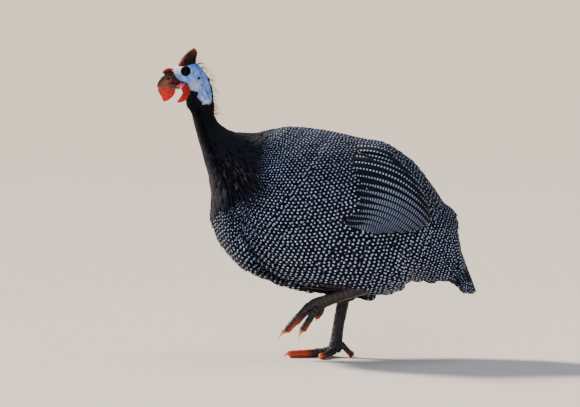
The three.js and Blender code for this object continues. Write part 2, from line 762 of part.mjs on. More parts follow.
for (const [side, leg] of Object.entries(LEGS)) {
  const thigh = limb(leg.thigh, FORWARD, thighShape);
  const padAt = leg.shank.at(-1).slice(0, 3);
  const shankWhole = union([limb(leg.shank, FORWARD, shankShape), ellipsoid(padAt, PAD_RADII)]);
  const thighClear = limb(grownBy(leg.thigh, GAP), FORWARD, thighShape);
  const shankFree = shankWhole.subtract(thighClear).subtract(bodyClear).subtract(floor);
  addNode(`thigh_${side}`, thigh.subtract(bodyClear), plumage);
  addNode(`shank_${side}`, shankFree, legScale);

  let taken = union([
    ellipsoid(padAt, PAD_RADII.map((radius) => radius + GAP)),
    limb(grownBy(leg.shank, GAP), FORWARD, shankShape),
  ]);
  for (const toe of TOE_ORDER) {
    const { line, claw } = TOES[side][toe];
    const size = TOE_SIZE[toe];
    const start = toward(line[0], padAt, TOE_SINK);
    const stops = [start, ...line].map((p, i, all) => {
      const radius = THREE.MathUtils.lerp(size.base, size.tip, i / (all.length - 1));
      return [...p, radius, radius];
    });
    const end = line.at(-1);
    const before = line.at(-2);
    const blunt = toward(end, before, -size.tip * TOE_END.past);
    stops.push([...blunt, size.tip * TOE_END.blunt, size.tip * TOE_END.blunt]);
    const toeShape = { sides: 8, plates: size.plates, plateStep: PLATE_STEP };
    const toeFree = limb(stops, UP, toeShape).subtract(taken).subtract(floor);
    addNode(`toe_${side}_${toe}`, toeFree, legScale);

    const knuckle = new THREE.Vector3(...end).lerp(new THREE.Vector3(...claw), 0.5);
    knuckle.z += CLAW.hook;
    const clawStops = [
      [...end, CLAW.thick, CLAW.thick * 1.1],
      [...knuckle.toArray(), CLAW.thick * 0.72, CLAW.thick * 0.9],
      [...claw, CLAW.tip, CLAW.tip],
    ];
    const toeClear = limb(grownBy(stops, GAP), UP, toeShape);
    taken = taken.add(toeClear);
    const clawSolid = limb(clawStops, UP, { sides: 6, rings: 4 });
    addNode(`claw_${side}_${toe}`, clawSolid.subtract(toeClear).subtract(floor), clawHorn);
  }
}

export default model;
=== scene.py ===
# A helmeted guinea fowl, life size, walking: the looks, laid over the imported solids.
# Sizes are millimetres in the bird's own frame. It faces -X, its left side is towards -Y, and the floor
# is z = 0.

import math

import bpy
import numpy as np
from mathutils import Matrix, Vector


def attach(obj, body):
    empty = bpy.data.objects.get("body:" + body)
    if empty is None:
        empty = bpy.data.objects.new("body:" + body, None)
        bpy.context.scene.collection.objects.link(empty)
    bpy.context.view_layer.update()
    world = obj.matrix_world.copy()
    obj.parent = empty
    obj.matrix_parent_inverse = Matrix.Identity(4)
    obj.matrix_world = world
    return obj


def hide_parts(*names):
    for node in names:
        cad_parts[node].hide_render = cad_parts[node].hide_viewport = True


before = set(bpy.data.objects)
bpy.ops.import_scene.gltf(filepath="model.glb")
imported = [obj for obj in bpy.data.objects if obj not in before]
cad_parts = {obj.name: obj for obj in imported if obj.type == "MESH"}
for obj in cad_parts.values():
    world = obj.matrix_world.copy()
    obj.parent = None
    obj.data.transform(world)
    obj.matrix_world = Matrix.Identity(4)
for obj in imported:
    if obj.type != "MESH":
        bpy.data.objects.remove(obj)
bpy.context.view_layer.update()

# The skin: one hide over head, neck, body and the root of the tail, as on a plucked bird. It is living
# bare skin, thin and slightly see-through, blue on the face and black below. Its slices come from the
# bird's outline, and it lies below the tips of the feathers by the coat's depth.

MM = 0.001
ROOT = "root"  # the one body that everything rides on
# [back x, back z, underside x, underside z, half width] from the face to the tail's tip
STATIONS = np.array([
    [-216, 417, -206.5, 399, 6.0], [-197.5, 426.5, -197, 393.5, 10.6],
    [-179, 430, -188.5, 387, 13.2], [-164.5, 419, -188.5, 377.5, 13.3],
    [-153.7, 399, -184, 367.3, 12.8], [-149.2, 372.6, -180.8, 356, 12.6],
    [-147.7, 353.8, -177.6, 343, 13.4], [-139.2, 340, -172.5, 323.4, 16.5],
    [-121, 330, -165.6, 299.5, 23], [-93.5, 327.5, -158, 270.5, 33.5],
    [-67.4, 332, -153.5, 240, 46], [-41.3, 335.7, -153, 206.6, 58],
    [-6.5, 333.8, -140.6, 170.4, 70], [28.3, 328.2, -109.5, 134.8, 78],
    [63, 320.5, -58.7, 111.7, 83], [97.9, 312.5, -0.7, 98.6, 84],
    [131.2, 292.2, 54.4, 90.6, 80], [158.8, 261.7, 100.8, 95.7, 70],
    [179, 233.5, 134.1, 110.2, 56], [197.2, 213.9, 164.6, 111.9, 43],
    [204.5, 183.4, 190.7, 111.2, 35], [209.5, 157.3, 203.7, 106.6, 30],
    [219.5, 128, 209, 99.5, 24], [230, 101, 216, 95, 15],
])
LAST = len(STATIONS) - 1
SECTION_SAG = 0.18  # how much fuller each slice is below its middle
HEAD_TURN = math.radians(8)
HEAD_PIVOT_X = -160.0


def spline(points, u):
    """The smooth line through evenly numbered points, at station u."""
    points = np.asarray(points, float)
    u = np.clip(np.asarray(u, float), 0, len(points) - 1)
    padded = np.vstack([2 * points[0] - points[1], points, 2 * points[-1] - points[-2]])
    i = np.minimum(u.astype(int), len(points) - 2)
    w = (u - i)[..., None]
    a, b, c, d = (padded[i + k] for k in range(4))
    bend = 2 * a - 5 * b + 4 * c - d
    twist = 3 * b - a - 3 * c + d
    return 0.5 * (2 * b + (c - a) * w + bend * w**2 + twist * w**3)


def ease(low, high, x):
    t = np.clip((np.asarray(x, float) - low) / (high - low), 0, 1)
    return t * t * (3 - 2 * t)


def straight_skin(u, angle):
    """A point on the outline before the head turns. Angle 0 is the back, a quarter turn the left side."""
    at = spline(STATIONS, u)
    drop = (1 - np.cos(angle)) / 2
    f = drop + SECTION_SAG * drop * (1 - drop)
    x = at[..., 0] + f * (at[..., 2] - at[..., 0])
    z = at[..., 1] + f * (at[..., 3] - at[..., 1])
    return np.stack([x, -at[..., 4] * np.sin(angle), z], -1)


def unit(v):
    return v / np.maximum(np.linalg.norm(v, axis=-1, keepdims=True), 1e-9)


def skin_normal(u, angle):
    step = 0.01
    along = straight_skin(u + step, angle) - straight_skin(u - step, angle)
    round_it = straight_skin(u, angle + step) - straight_skin(u, angle - step)
    return unit(np.cross(round_it, along))


# How far apart the spots are, for each station: [station, on the back, on the side, below]
SPOT_PITCH = [
    [3.0, 1.25, 1.25, 1.25], [5.0, 1.4, 1.4, 1.4], [7.0, 1.8, 1.8, 1.8], [8.5, 3.0, 2.7, 2.7],
    [9.5, 3.6, 3.4, 3.2], [11, 3.8, 4.1, 3.5], [12, 4.4, 5.0, 4.1], [13, 4.8, 5.9, 4.8],
    [15, 4.9, 6.3, 6.4], [17, 4.2, 5.8, 6.4], [19, 3.4, 4.4, 4.8], [21, 3.0, 3.6, 4.0],
]


def spot_pitch(u, angle):
    table = np.array(SPOT_PITCH)
    top, side, below = (np.interp(u, table[:, 0], table[:, k]) for k in (1, 2, 3))
    drop = (1 - np.cos(angle)) / 2
    return np.where(drop < 0.5, top + (side - top) * drop * 2, side + (below - side) * (drop * 2 - 1))


def turn_head(points, u):
    """Turns the head a little to the bird's left about its upper neck."""
    angle = HEAD_TURN * (1 - ease(5, 7.5, u))
    x = points[..., 0] - HEAD_PIVOT_X
    y = points[..., 1]
    c, s = np.cos(angle), np.sin(angle)
    return np.stack([HEAD_PIVOT_X + x * c - y * s, x * s + y * c, points[..., 2]], -1)


WING_RISE = 5.0
THROAT_RISE = 3.4


def wing_rise(u, angle):
    """How far the folded wing lifts the coverts over the flank."""
    side = np.abs((np.asarray(angle) + math.pi) % (2 * math.pi) - math.pi)
    along = ease(10.8, 13.4, u) * (1 - ease(15.0, 15.6, u))
    lower = np.interp(u, [11, 14, 16], [1.62, 1.5, 1.4])
    across = ease(0.35, 0.95, side) * (1 - ease(lower - 0.12, lower + 0.06, side))
    return WING_RISE * along * across


def throat_rise(u, angle):
    """The soft bulge under the chin."""
    below = math.pi - np.abs((np.asarray(angle) % (2 * math.pi)) - math.pi)
    return THROAT_RISE * np.exp(-((np.asarray(u) - 3.9) / 0.75)**2) * ease(1.7, 2.9, below)


def within(points, outline, blur):
    """How far side-view places lie inside a closed outline: 1 inside, 0 outside, blurred at the edge."""
    shape = np.asarray(outline, float)
    px, pz = points[..., 0], points[..., 1]
    inside = np.zeros(px.shape, bool)
    nearest = np.full(px.shape, 1e9)
    for (ax, az), (bx, bz) in zip(shape, np.roll(shape, -1, 0)):
        crosses = (az > pz) != (bz > pz)
        slope = (bx - ax) * (pz - az) / (bz - az if bz != az else 1e-9) + ax
        inside ^= crosses & (px < slope)
        t = np.clip(((px - ax) * (bx - ax) + (pz - az) * (bz - az)) / ((bx - ax)**2 + (bz - az)**2), 0, 1)
        nearest = np.minimum(nearest, np.hypot(px - ax - t * (bx - ax), pz - az - t * (bz - az)))
    return ease(-blur, blur, np.where(inside, nearest, -nearest))


def linear(code):
    """A hex sRGB colour as linear red, green and blue."""
    parts = [int(code[i:i + 2], 16) / 255 for i in (1, 3, 5)]
    return np.array([c / 12.92 if c <= 0.04045 else ((c + 0.055) / 1.055)**2.4 for c in parts])


def ripple(points, size, seed):
    """A smooth random height from -1 to 1 at each point, with waves of about the given size."""
    rng = np.random.default_rng(seed)
    total = np.zeros(np.shape(points)[:-1])
    for _ in range(9):
        way = rng.normal(size=3)
        way *= 2 * math.pi / (size * np.linalg.norm(way)) * rng.uniform(0.7, 1.5)
        total += np.sin(np.asarray(points) @ way + rng.uniform(0, 2 * math.pi))
    return total / 4.5


def blend_colour(base, code, share):
    return base + (linear(code) - base) * np.asarray(share)[..., None]


def unwrap(u, angle):
    """The place of a station and angle on the flat unwrap of the skin, from 0 to 1 each way."""
    round_it = ((np.asarray(angle) + math.pi) % (2 * math.pi)) / (2 * math.pi)
    return np.stack([0.02 + 0.95 * np.asarray(u) / LAST, 0.02 + 0.95 * round_it], -1)


def new_mesh(name, points, faces, materials, smooth=True):
    """An object at the origin from points in millimetres."""
    mesh = bpy.data.meshes.new(name)
    mesh.from_pydata((np.asarray(points) * MM).tolist(), [], [list(map(int, f)) for f in faces])
    mesh.polygons.foreach_set("use_smooth", [smooth] * len(mesh.polygons))
    for material in materials:
        mesh.materials.append(material)
    mesh.validate()
    mesh.update()
    piece = bpy.data.objects.new(name, mesh)
    bpy.context.scene.collection.objects.link(piece)
    return piece


def map_points(piece, name, places):
    """A UV map from one flat place for each point."""
    corners = np.empty(len(piece.data.loops), int)
    piece.data.loops.foreach_get("vertex_index", corners)
    layer = piece.data.uv_layers.new(name=name)
    layer.data.foreach_set("uv", np.asarray(places)[corners].astype(np.float32).ravel())


def add_node(tree, kind, settings=None, links=None):
    """Adds a node, sets its settings, and fills its inputs by value or by a link from another socket."""
    node = tree.nodes.new(kind)
    for key, value in (settings or {}).items():
        setattr(node, key, value)
    for key, value in (links or {}).items():
        socket = node.inputs[key]
        if isinstance(value, bpy.types.NodeSocket):
            tree.links.new(value, socket)
        else:
            socket.default_value = value
    return node


def math_node(tree, operation, *values):
    return add_node(tree, "ShaderNodeMath", {"operation": operation}, dict(enumerate(values)))


def vector_node(tree, operation, *values):
    return add_node(tree, "ShaderNodeVectorMath", {"operation": operation}, dict(enumerate(values)))


def new_material(name, roughness, colour="#808080", **settings):
    """A material with its main shader, and that shader's fixed values."""
    material = bpy.data.materials.new(name)
    material.use_nodes = True
    tree = material.node_tree
    shader = next(n for n in tree.nodes if n.type == "BSDF_PRINCIPLED")
    shader.inputs["Base Color"].default_value = (*linear(colour), 1)
    shader.inputs["Roughness"].default_value = roughness
    for key, value in settings.items():
        shader.inputs[key].default_value = value
    return material, tree, shader


def bump(tree, shader, height, strength, distance_mm):
    node = add_node(tree, "ShaderNodeBump", links={
        "Strength": strength, "Distance": distance_mm * MM, "Height": height})
    tree.links.new(node.outputs["Normal"], shader.inputs["Normal"])


def staggered_cell(tree, counts):
    """From counts of spots across and along, the offset from the nearest spot's middle, in spot places.
    Every second row of spots stands half a place aside."""
    rows = add_node(tree, "ShaderNodeSeparateXYZ", links={0: counts})
    half_row = math_node(tree, "MULTIPLY", rows.outputs["Y"], 0.5)
    row_part = math_node(tree, "FRACT", half_row.outputs[0])
    odd_row = math_node(tree, "GREATER_THAN", row_part.outputs[0], 0.5)
    shift = math_node(tree, "MULTIPLY", odd_row.outputs[0], 0.5)
    aside = add_node(tree, "ShaderNodeCombineXYZ", links={"X": shift.outputs[0]})
    staggered = vector_node(tree, "ADD", counts, aside.outputs[0])
    cell = vector_node(tree, "FRACTION", staggered.outputs[0])
    return vector_node(tree, "SUBTRACT", cell.outputs[0], (0.5, 0.5, 0.0))


# The skin's finish takes its colours from the piece's own paint, mottles them a little, carries the coat's
# spots under the feathers, and has fine pores.
# Painted skylit shade: the white spots are tinted blue, as they look on the shaded side under a blue sky.
SKY_SHADED_SPOT_WHITE = "#BFD4FF"
BLACK_SKIN = "#020204"
MOTTLE_SIZE = 5
PORE_SIZE = 0.9
skin_material, tree, shader = new_material("Living bare skin", 0.66, **{
    "Subsurface Weight": 0.04, "Subsurface Scale": 0.002, "Specular IOR Level": 0.16})
shader.inputs["Subsurface Radius"].default_value = (1.0, 0.6, 0.5)
where = add_node(tree, "ShaderNodeTexCoord")
skin_paint = add_node(tree, "ShaderNodeAttribute", {"attribute_name": "Paint"})
mottle = add_node(tree, "ShaderNodeTexNoise", links={
    "Vector": where.outputs["Object"], "Scale": 1 / (MOTTLE_SIZE * MM), "Detail": 4.0})
patchy = add_node(tree, "ShaderNodeMapRange", links={
    "Value": mottle.outputs["Fac"], "From Min": 0.3, "From Max": 0.7, "To Min": 0.78, "To Max": 1.12})
tone = add_node(tree, "ShaderNodeMix", {"data_type": "RGBA", "blend_type": "MULTIPLY"}, {
    "Factor": 1.0, "A": skin_paint.outputs["Color"], "B": patchy.outputs["Result"]})
lattice = add_node(tree, "ShaderNodeAttribute", {"attribute_name": "Lattice"})
centred = staggered_cell(tree, lattice.outputs["Vector"])
level = vector_node(tree, "MULTIPLY", centred.outputs[0], (1, 1, 0))
away = vector_node(tree, "LENGTH", level.outputs[0])
dots = add_node(tree, "ShaderNodeMapRange", {"interpolation_type": "SMOOTHSTEP"}, {
    "Value": away.outputs["Value"], "From Min": 0.22, "From Max": 0.30, "To Min": 1.0, "To Max": 0.0})
dotted = math_node(tree, "MULTIPLY", dots.outputs["Result"], skin_paint.outputs["Alpha"])
marked = add_node(tree, "ShaderNodeMix", {"data_type": "RGBA"}, {
    "Factor": dotted.outputs[0], "A": tone.outputs["Result"], "B": (*linear(SKY_SHADED_SPOT_WHITE), 1)})
tree.links.new(marked.outputs["Result"], shader.inputs["Base Color"])
pores = add_node(tree, "ShaderNodeTexVoronoi", {"feature": "DISTANCE_TO_EDGE"}, {
    "Vector": where.outputs["Object"], "Scale": 1 / (PORE_SIZE * MM)})
bump(tree, shader, pores.outputs["Distance"], 0.35, 0.25)

EYE = np.array([-190.8, 9.2, 417.7])
EAR = np.array([-171.4, 12.6, 407.8])
# How far the skin lies under the bird's outline: [station, depth]
COAT_DEPTH = [[0, 0], [4.2, 0], [5.2, 1.2], [7, 2.2], [9, 2.8], [12, 3.2], [18, 3.2], [21, 3.4]]
SKIN_END = 20.9
SOCKET_DEPTH = 4.6
LID_RIDGE = 1.3
EAR_DEPTH = 2.4
EAR_RIM = 0.8
FOLD_HEIGHT = 1.05
# Where the face is blue, and dark red, in the side view
BLUE_SKIN = [
    [-206.6, 415.4], [-209.9, 420.3], [-213.5, 423.5], [-206, 431], [-195.8, 434], [-186, 436],
    [-179.5, 437], [-172, 432], [-166, 424], [-158, 414], [-153.5, 405.5], [-151.5, 399], [-152.5, 392.4],
    [-151.5, 384.2], [-151.3, 376], [-152.9, 369.4], [-155.5, 371], [-157.6, 366.1], [-160, 370.5],
    [-165.9, 369.4], [-167.5, 373.5], [-170.9, 376], [-174.2, 380.9], [-172.2, 385.8], [-173.4, 388.3],
    [-184.1, 390.7], [-186.1, 394.9], [-188.3, 399.8], [-194.1, 402.6], [-199.1, 403.9], [-203.2, 408],
    [-205.7, 411.3],
]
RED_SKIN = [[-222, 424], [-213.5, 423.5], [-209.9, 420.3], [-205.7, 411.3], [-203.2, 408], [-199.1, 403.9],
            [-194.1, 402.6], [-188, 399.8], [-190, 392], [-202.9, 388], [-222, 390]]
# The dark plumage without spots, from the throat to the lower neck, in the side view
COLLAR = [[-80.5, 330], [-83.4, 306.7], [-86.3, 292.2], [-84.1, 255.9], [-95, 243.6], [-112.4, 229.8],
          [-137, 226.9], [-168, 225.5], [-205, 302.3], [-205, 395], [-140, 401], [-130, 352], [-110, 338]]

HEAD_END = 5.2
SKIN_COLUMNS = 128
head_rows = np.arange(0, HEAD_END, 0.055)
body_rows = np.arange(HEAD_END, SKIN_END, 0.12)
row_u = np.concatenate([head_rows, body_rows])
row_angle = np.arange(SKIN_COLUMNS) * 2 * math.pi / SKIN_COLUMNS
skin_u, skin_angle = np.meshgrid(row_u, row_angle, indexing="ij")
depth = np.interp(skin_u, *np.transpose(COAT_DEPTH))
flat = straight_skin(skin_u, skin_angle)
normal = skin_normal(skin_u, skin_angle)
half_y = np.abs(flat[..., 1])
side_view = flat[..., [0, 2]]

# The face's own relief: sockets, a brow ridge, the folds that hang from the cheek, and the ear's rim
eye_away = np.hypot(flat[..., 0] - EYE[0], flat[..., 2] - EYE[2])
ear_away = np.hypot(flat[..., 0] - EAR[0], flat[..., 2] - EAR[2])
on_side = ease(4.0, 8.0, half_y)
relief = -depth + 0.8 * wing_rise(skin_u, skin_angle)
lid_ridge = LID_RIDGE * np.exp(-((eye_away - 6.2) / 1.5)**2)
relief += on_side * (lid_ridge - SOCKET_DEPTH * (1 - ease(4.2, 5.6, eye_away)))
ear_rim = EAR_RIM * np.exp(-((ear_away - 2.6) / 0.9)**2)
relief += on_side * (ear_rim - EAR_DEPTH * (1 - ease(0.9, 2.0, ear_away)))
fold_way = flat[..., 0] * 0.93 + flat[..., 2] * 0.36
fold_warp = ripple(flat, 16, 3)
folds = np.sin(fold_way * 0.95 + 2.4 * fold_warp) + 0.6 * np.sin(fold_way * 2.3 + 3.1 * fold_warp)
folds = folds * (0.6 + 0.8 * ripple(flat, 9, 4))
fold_place = on_side * ease(-176, -168, flat[..., 0])
fold_place = fold_place * ease(362, 372, flat[..., 2]) * (1 - ease(414, 424, flat[..., 2]))
relief += FOLD_HEIGHT * folds * fold_place * (1 - ease(4.4, 5.0, skin_u))
relief += throat_rise(skin_u, skin_angle)
skin_points = turn_head(flat + normal * relief[..., None], skin_u)

# The face's paint: blue cheeks, a white brow and painted sun highlight, dark red gape, black lids, throat
# and nape
wander = 0.9 * np.sin(flat[..., 0] * 0.9 + flat[..., 2] * 0.5) * np.sin(flat[..., 2] * 1.1)
ragged = side_view + wander[..., None] * ease(380, 366, flat[..., 2])[..., None]
blue = within(ragged, BLUE_SKIN, 0.7) * (1 - ease(4.7, 5.1, skin_u))
red = within(side_view, RED_SKIN, 1.2)
around = np.abs((skin_angle + math.pi) % (2 * math.pi) - math.pi)
colours = np.tile(linear(BLACK_SKIN), (*skin_u.shape, 1))
colours = blend_colour(colours, "#4F8DEE", blue)
pale = np.sin(flat[..., 0] * 0.55 + 1.7 * np.sin(flat[..., 2] * 0.31)) * np.sin(flat[..., 2] * 0.42)
colours = blend_colour(colours, "#CFE2FA", 0.5 * blue * (0.5 + 0.5 * pale))
lower_cheek = np.exp(-(((flat[..., 0] + 178) / 9)**2 + ((flat[..., 2] - 396) / 7)**2))
colours = blend_colour(colours, "#CFD6C8", 0.85 * blue * lower_cheek)
colours = blend_colour(colours, "#E9EFF6", 0.8 * blue * ease(384, 370, flat[..., 2]))
# Painted shade: darker blue in the troughs of the cheek folds.
colours = blend_colour(colours, "#1E4FA8", 0.95 * blue * fold_place * ease(-0.4, -0.8, folds))
# Painted sun highlight: the pale brow is brightened to white over the top of the face.
near_top = 1 - ease(0.95, 1.3, around)
brow = near_top * ease(-179, -190, flat[..., 0]) * ease(-213, -209, flat[..., 0])
colours = blend_colour(colours, "#F4F7FC", brow)
crown = ease(-196, -184, flat[..., 0]) * (1 - ease(2.6, 3.2, skin_u)) * (1 - ease(0.5, 1.0, around))
colours = blend_colour(colours, "#4F86E6", 0.8 * crown)
colours = blend_colour(colours, "#4A0B08", red * (1 - brow))
lid_peak = within(side_view, [[-196.5, 420], [-193, 426.8], [-188.5, 425.6], [-184.6, 420]], 0.7)
colours = blend_colour(colours, "#08080A", on_side * np.maximum(lid_peak, 1 - ease(6.6, 7.6, eye_away)))
colours = blend_colour(colours, "#0A0A0C", on_side * (1 - ease(1.6, 2.4, ear_away)))
nape = (1 - ease(0.16, 0.30, around)) * ease(2.9, 3.5, skin_u)
colours = blend_colour(colours, BLACK_SKIN, nape)

faces = []
rows, columns = skin_u.shape
for r in range(rows - 1):
    for c in range(columns):
        a, b = r * columns + c, r * columns + (c + 1) % columns
        faces.append((a, b, b + columns, a + columns))
front, back = rows * columns, rows * columns + 1
faces += [(front, (c + 1) % columns, c) for c in range(columns)]
last = (rows - 1) * columns
faces += [(back, last + c, last + (c + 1) % columns) for c in range(columns)]
all_points = np.vstack([skin_points.reshape(-1, 3), skin_points[0].mean(0), skin_points[-1].mean(0)])
skin = new_mesh("skin", all_points, faces, [skin_material])
# The same spots as the feathers carry: counts of the spots round from the back, and along from the face
plain = within(turn_head(flat, skin_u)[..., [0, 2]], COLLAR, 4.0)
dotted = (1 - plain) * ease(8.2, 9.0, skin_u)
colours = blend_colour(colours, "#17171D", ease(5, 6, skin_u))
pitch = spot_pitch(skin_u, skin_angle)
half = SKIN_COLUMNS // 2 + 1
steps = np.linalg.norm(np.diff(flat[:, :half], axis=1), axis=2)
round_count = np.concatenate([np.zeros((rows, 1)), np.cumsum(steps / pitch[:, 1:half], axis=1)], 1)
round_count = np.concatenate([round_count, round_count[:, -2:0:-1]], 1)
side_line = flat[:, SKIN_COLUMNS // 4]
side_steps = np.linalg.norm(np.diff(side_line, axis=0), axis=1)
along_count = np.concatenate([[0], np.cumsum(side_steps / spot_pitch(row_u[1:], math.pi / 2))])
along_count = np.repeat(along_count[:, None], SKIN_COLUMNS, 1)
paint_rows = np.concatenate([colours, dotted[..., None]], -1)
count_rows = np.stack([round_count + 0.5, along_count, 0 * along_count], -1)
for name, kind, field, values in (("Paint", "FLOAT_COLOR", "color", paint_rows),
                                  ("Lattice", "FLOAT_VECTOR", "vector", count_rows)):
    layer = skin.data.attributes.new(name, kind, "POINT")
    flat_rows = np.vstack([values.reshape(-1, values.shape[-1]), values[0].mean(0), values[-1].mean(0)])
    layer.data.foreach_set(field, flat_rows.astype(np.float32).ravel())
places = unwrap(skin_u, skin_angle).reshape(-1, 2)
map_points(skin, "OFBake", np.vstack([places, [[0.01, 0.5], [0.9, 0.5]]]))
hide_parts("head", "neck", "torso", "thigh_left", "thigh_right")
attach(skin, ROOT)

# The body feathers: soft flat vanes of black barbs with round white spots, rooted in the skin. Each lies
# back over the next, and its spots run on in the next, in rows that widen from the breast to the belly.

PATCH = 0.003  # how wide each feather is on the unwrap
# The vane's half width at shares of its length from the root, both in feather lengths and widths
VANE_ROWS = [0.0, 0.22, 0.45, 0.66, 0.82, 0.93, 1.0]
VANE_HALF = [0.10, 0.30, 0.46, 0.50, 0.45, 0.31, 0.10]
VANE_ARCH = 0.07
VANE_CAMBER = 0.22
VANE_THICK = 0.028


def unit_vane(name, material):
    """A feather one unit long and wide, arched both ways and closed, with its spot map from its tip."""
    points, flat_places = [], []
    for t, half in zip(VANE_ROWS, VANE_HALF):
        arch = VANE_ARCH * math.sin(math.pi * t) - 0.03 * t * t
        thick = VANE_THICK * (1 - 0.5 * t)
        for across in (-1, 0, 1):
            x = across * half
            points.append((x, t, arch - VANE_CAMBER * x * x + thick * (1 if across == 0 else 0.35)))
            flat_places.append((x, 1 - t))
        for across in (1, 0, -1):
            x = across * half
            points.append((x, t, arch - VANE_CAMBER * x * x - thick * 0.35))
            flat_places.append((x, 1 - t))
    ring = 6
    made = []
    for k in range(len(VANE_ROWS) - 1):
        for i in range(ring):
            a, b = k * ring + i, k * ring + (i + 1) % ring
            made.append((a, b, b + ring, a + ring))
    end = (len(VANE_ROWS) - 1) * ring
    made += [(5, 4, 3, 2, 1, 0), tuple(end + i for i in range(ring))]
    vane = new_mesh(name, np.array(points) / MM, made, [material])
    map_points(vane, "vane", np.array(flat_places))
    return vane


def coat_point(u, angle, lift=0.0):
    """A point over the skin at a height, with the wings' bulge and the turn of the head."""
    rise = np.asarray(lift + wing_rise(u, angle) + throat_rise(u, angle))[..., None]
    return turn_head(straight_skin(u, angle) + skin_normal(u, angle) * rise, u)


def feather_rows(u_from, u_to, sides, step_share=2.0):
    """Roots in staggered rows round the body: station, angle, pitch across and pitch along, for each."""
    found = []
    u, row = u_from, 0
    while u < u_to:
        angle = np.linspace(-math.pi, math.pi, 721)
        ring = coat_point(np.full_like(angle, u), angle)
        arc = np.linalg.norm(np.diff(ring, axis=0), axis=1)
        pitch = spot_pitch(u, angle)
        count = np.concatenate([[0], np.cumsum(arc / (pitch[1:] + pitch[:-1]))])
        count -= np.interp(0, angle, count)
        numbers = np.arange(math.ceil(count[0]), math.floor(count[-1]) + 1) + 0.5 * (row % 2)
        numbers = numbers[(numbers > count[0]) & (numbers < count[-1])]
        at = np.interp(numbers, count, angle)
        ahead = coat_point(np.full_like(at, u + 0.1), at)
        gone = np.linalg.norm(ahead - coat_point(np.full_like(at, u), at), axis=1) / 0.1
        left = at > 0
        middle = np.interp(math.pi / 2, np.abs(at)[left], gone[left]) if left.any() else gone.mean()
        du = step_share * spot_pitch(u, math.pi / 2) / middle
        keep = sides(u, at)
        pitch_here = spot_pitch(u, at)
        for a, p, g in zip(at[keep], pitch_here[keep], gone[keep]):
            found.append((u, a, p, g * du / step_share))
        u += du
        row += 1
    return np.array(found)


def lay_feathers_tree(vane):
    """Nodes that set one vane on each root, along its lie and out from the skin, a little ruffled."""
    tree = bpy.data.node_groups.new("Lay feathers", "GeometryNodeTree")
    for name, kind in (("Geometry", "NodeSocketGeometry"), ("Ruffle", "NodeSocketFloat"),
                       ("Seed", "NodeSocketInt"), ("Finish", "NodeSocketMaterial")):
        tree.interface.new_socket(name=name, in_out="INPUT", socket_type=kind)
    tree.interface.new_socket(name="Geometry", in_out="OUTPUT", socket_type="NodeSocketGeometry")
    enter = add_node(tree, "NodeGroupInput")
    leave = add_node(tree, "NodeGroupOutput")
    read = {}
    for name in ("Out", "Lie", "Size"):
        read[name] = add_node(tree, "GeometryNodeInputNamedAttribute", {"data_type": "FLOAT_VECTOR"}, {
            "Name": name})
    upright = add_node(tree, "FunctionNodeAlignRotationToVector", {"axis": "Z"}, {
        "Vector": read["Out"].outputs["Attribute"]})
    laid = add_node(tree, "FunctionNodeAlignRotationToVector", {"axis": "Y", "pivot_axis": "AUTO"}, {
        "Rotation": upright.outputs["Rotation"], "Vector": read["Lie"].outputs["Attribute"]})
    low = math_node(tree, "MULTIPLY", enter.outputs["Ruffle"], -1.0)
    shake = add_node(tree, "FunctionNodeRandomValue", {"data_type": "FLOAT_VECTOR"}, {
        "Min": low.outputs[0], "Max": enter.outputs["Ruffle"], "Seed": enter.outputs["Seed"]})
    euler = add_node(tree, "FunctionNodeEulerToRotation", links={0: shake.outputs["Value"]})
    turned = add_node(tree, "FunctionNodeRotateRotation", {"rotation_space": "LOCAL"}, {
        "Rotation": laid.outputs["Rotation"], "Rotate By": euler.outputs["Rotation"]})
    source = add_node(tree, "GeometryNodeObjectInfo", links={"Object": vane})
    placed = add_node(tree, "GeometryNodeInstanceOnPoints", links={
        "Points": enter.outputs["Geometry"], "Instance": source.outputs["Geometry"],
        "Rotation": turned.outputs["Rotation"], "Scale": read["Size"].outputs["Attribute"]})
    real = add_node(tree, "GeometryNodeRealizeInstances", links={"Geometry": placed.outputs["Instances"]})
    finished = add_node(tree, "GeometryNodeSetMaterial", links={
        "Geometry": real.outputs["Geometry"], "Material": enter.outputs["Finish"]})
    tree.links.new(finished.outputs["Geometry"], leave.inputs["Geometry"])
    return tree


BARB_SIZE = 0.7


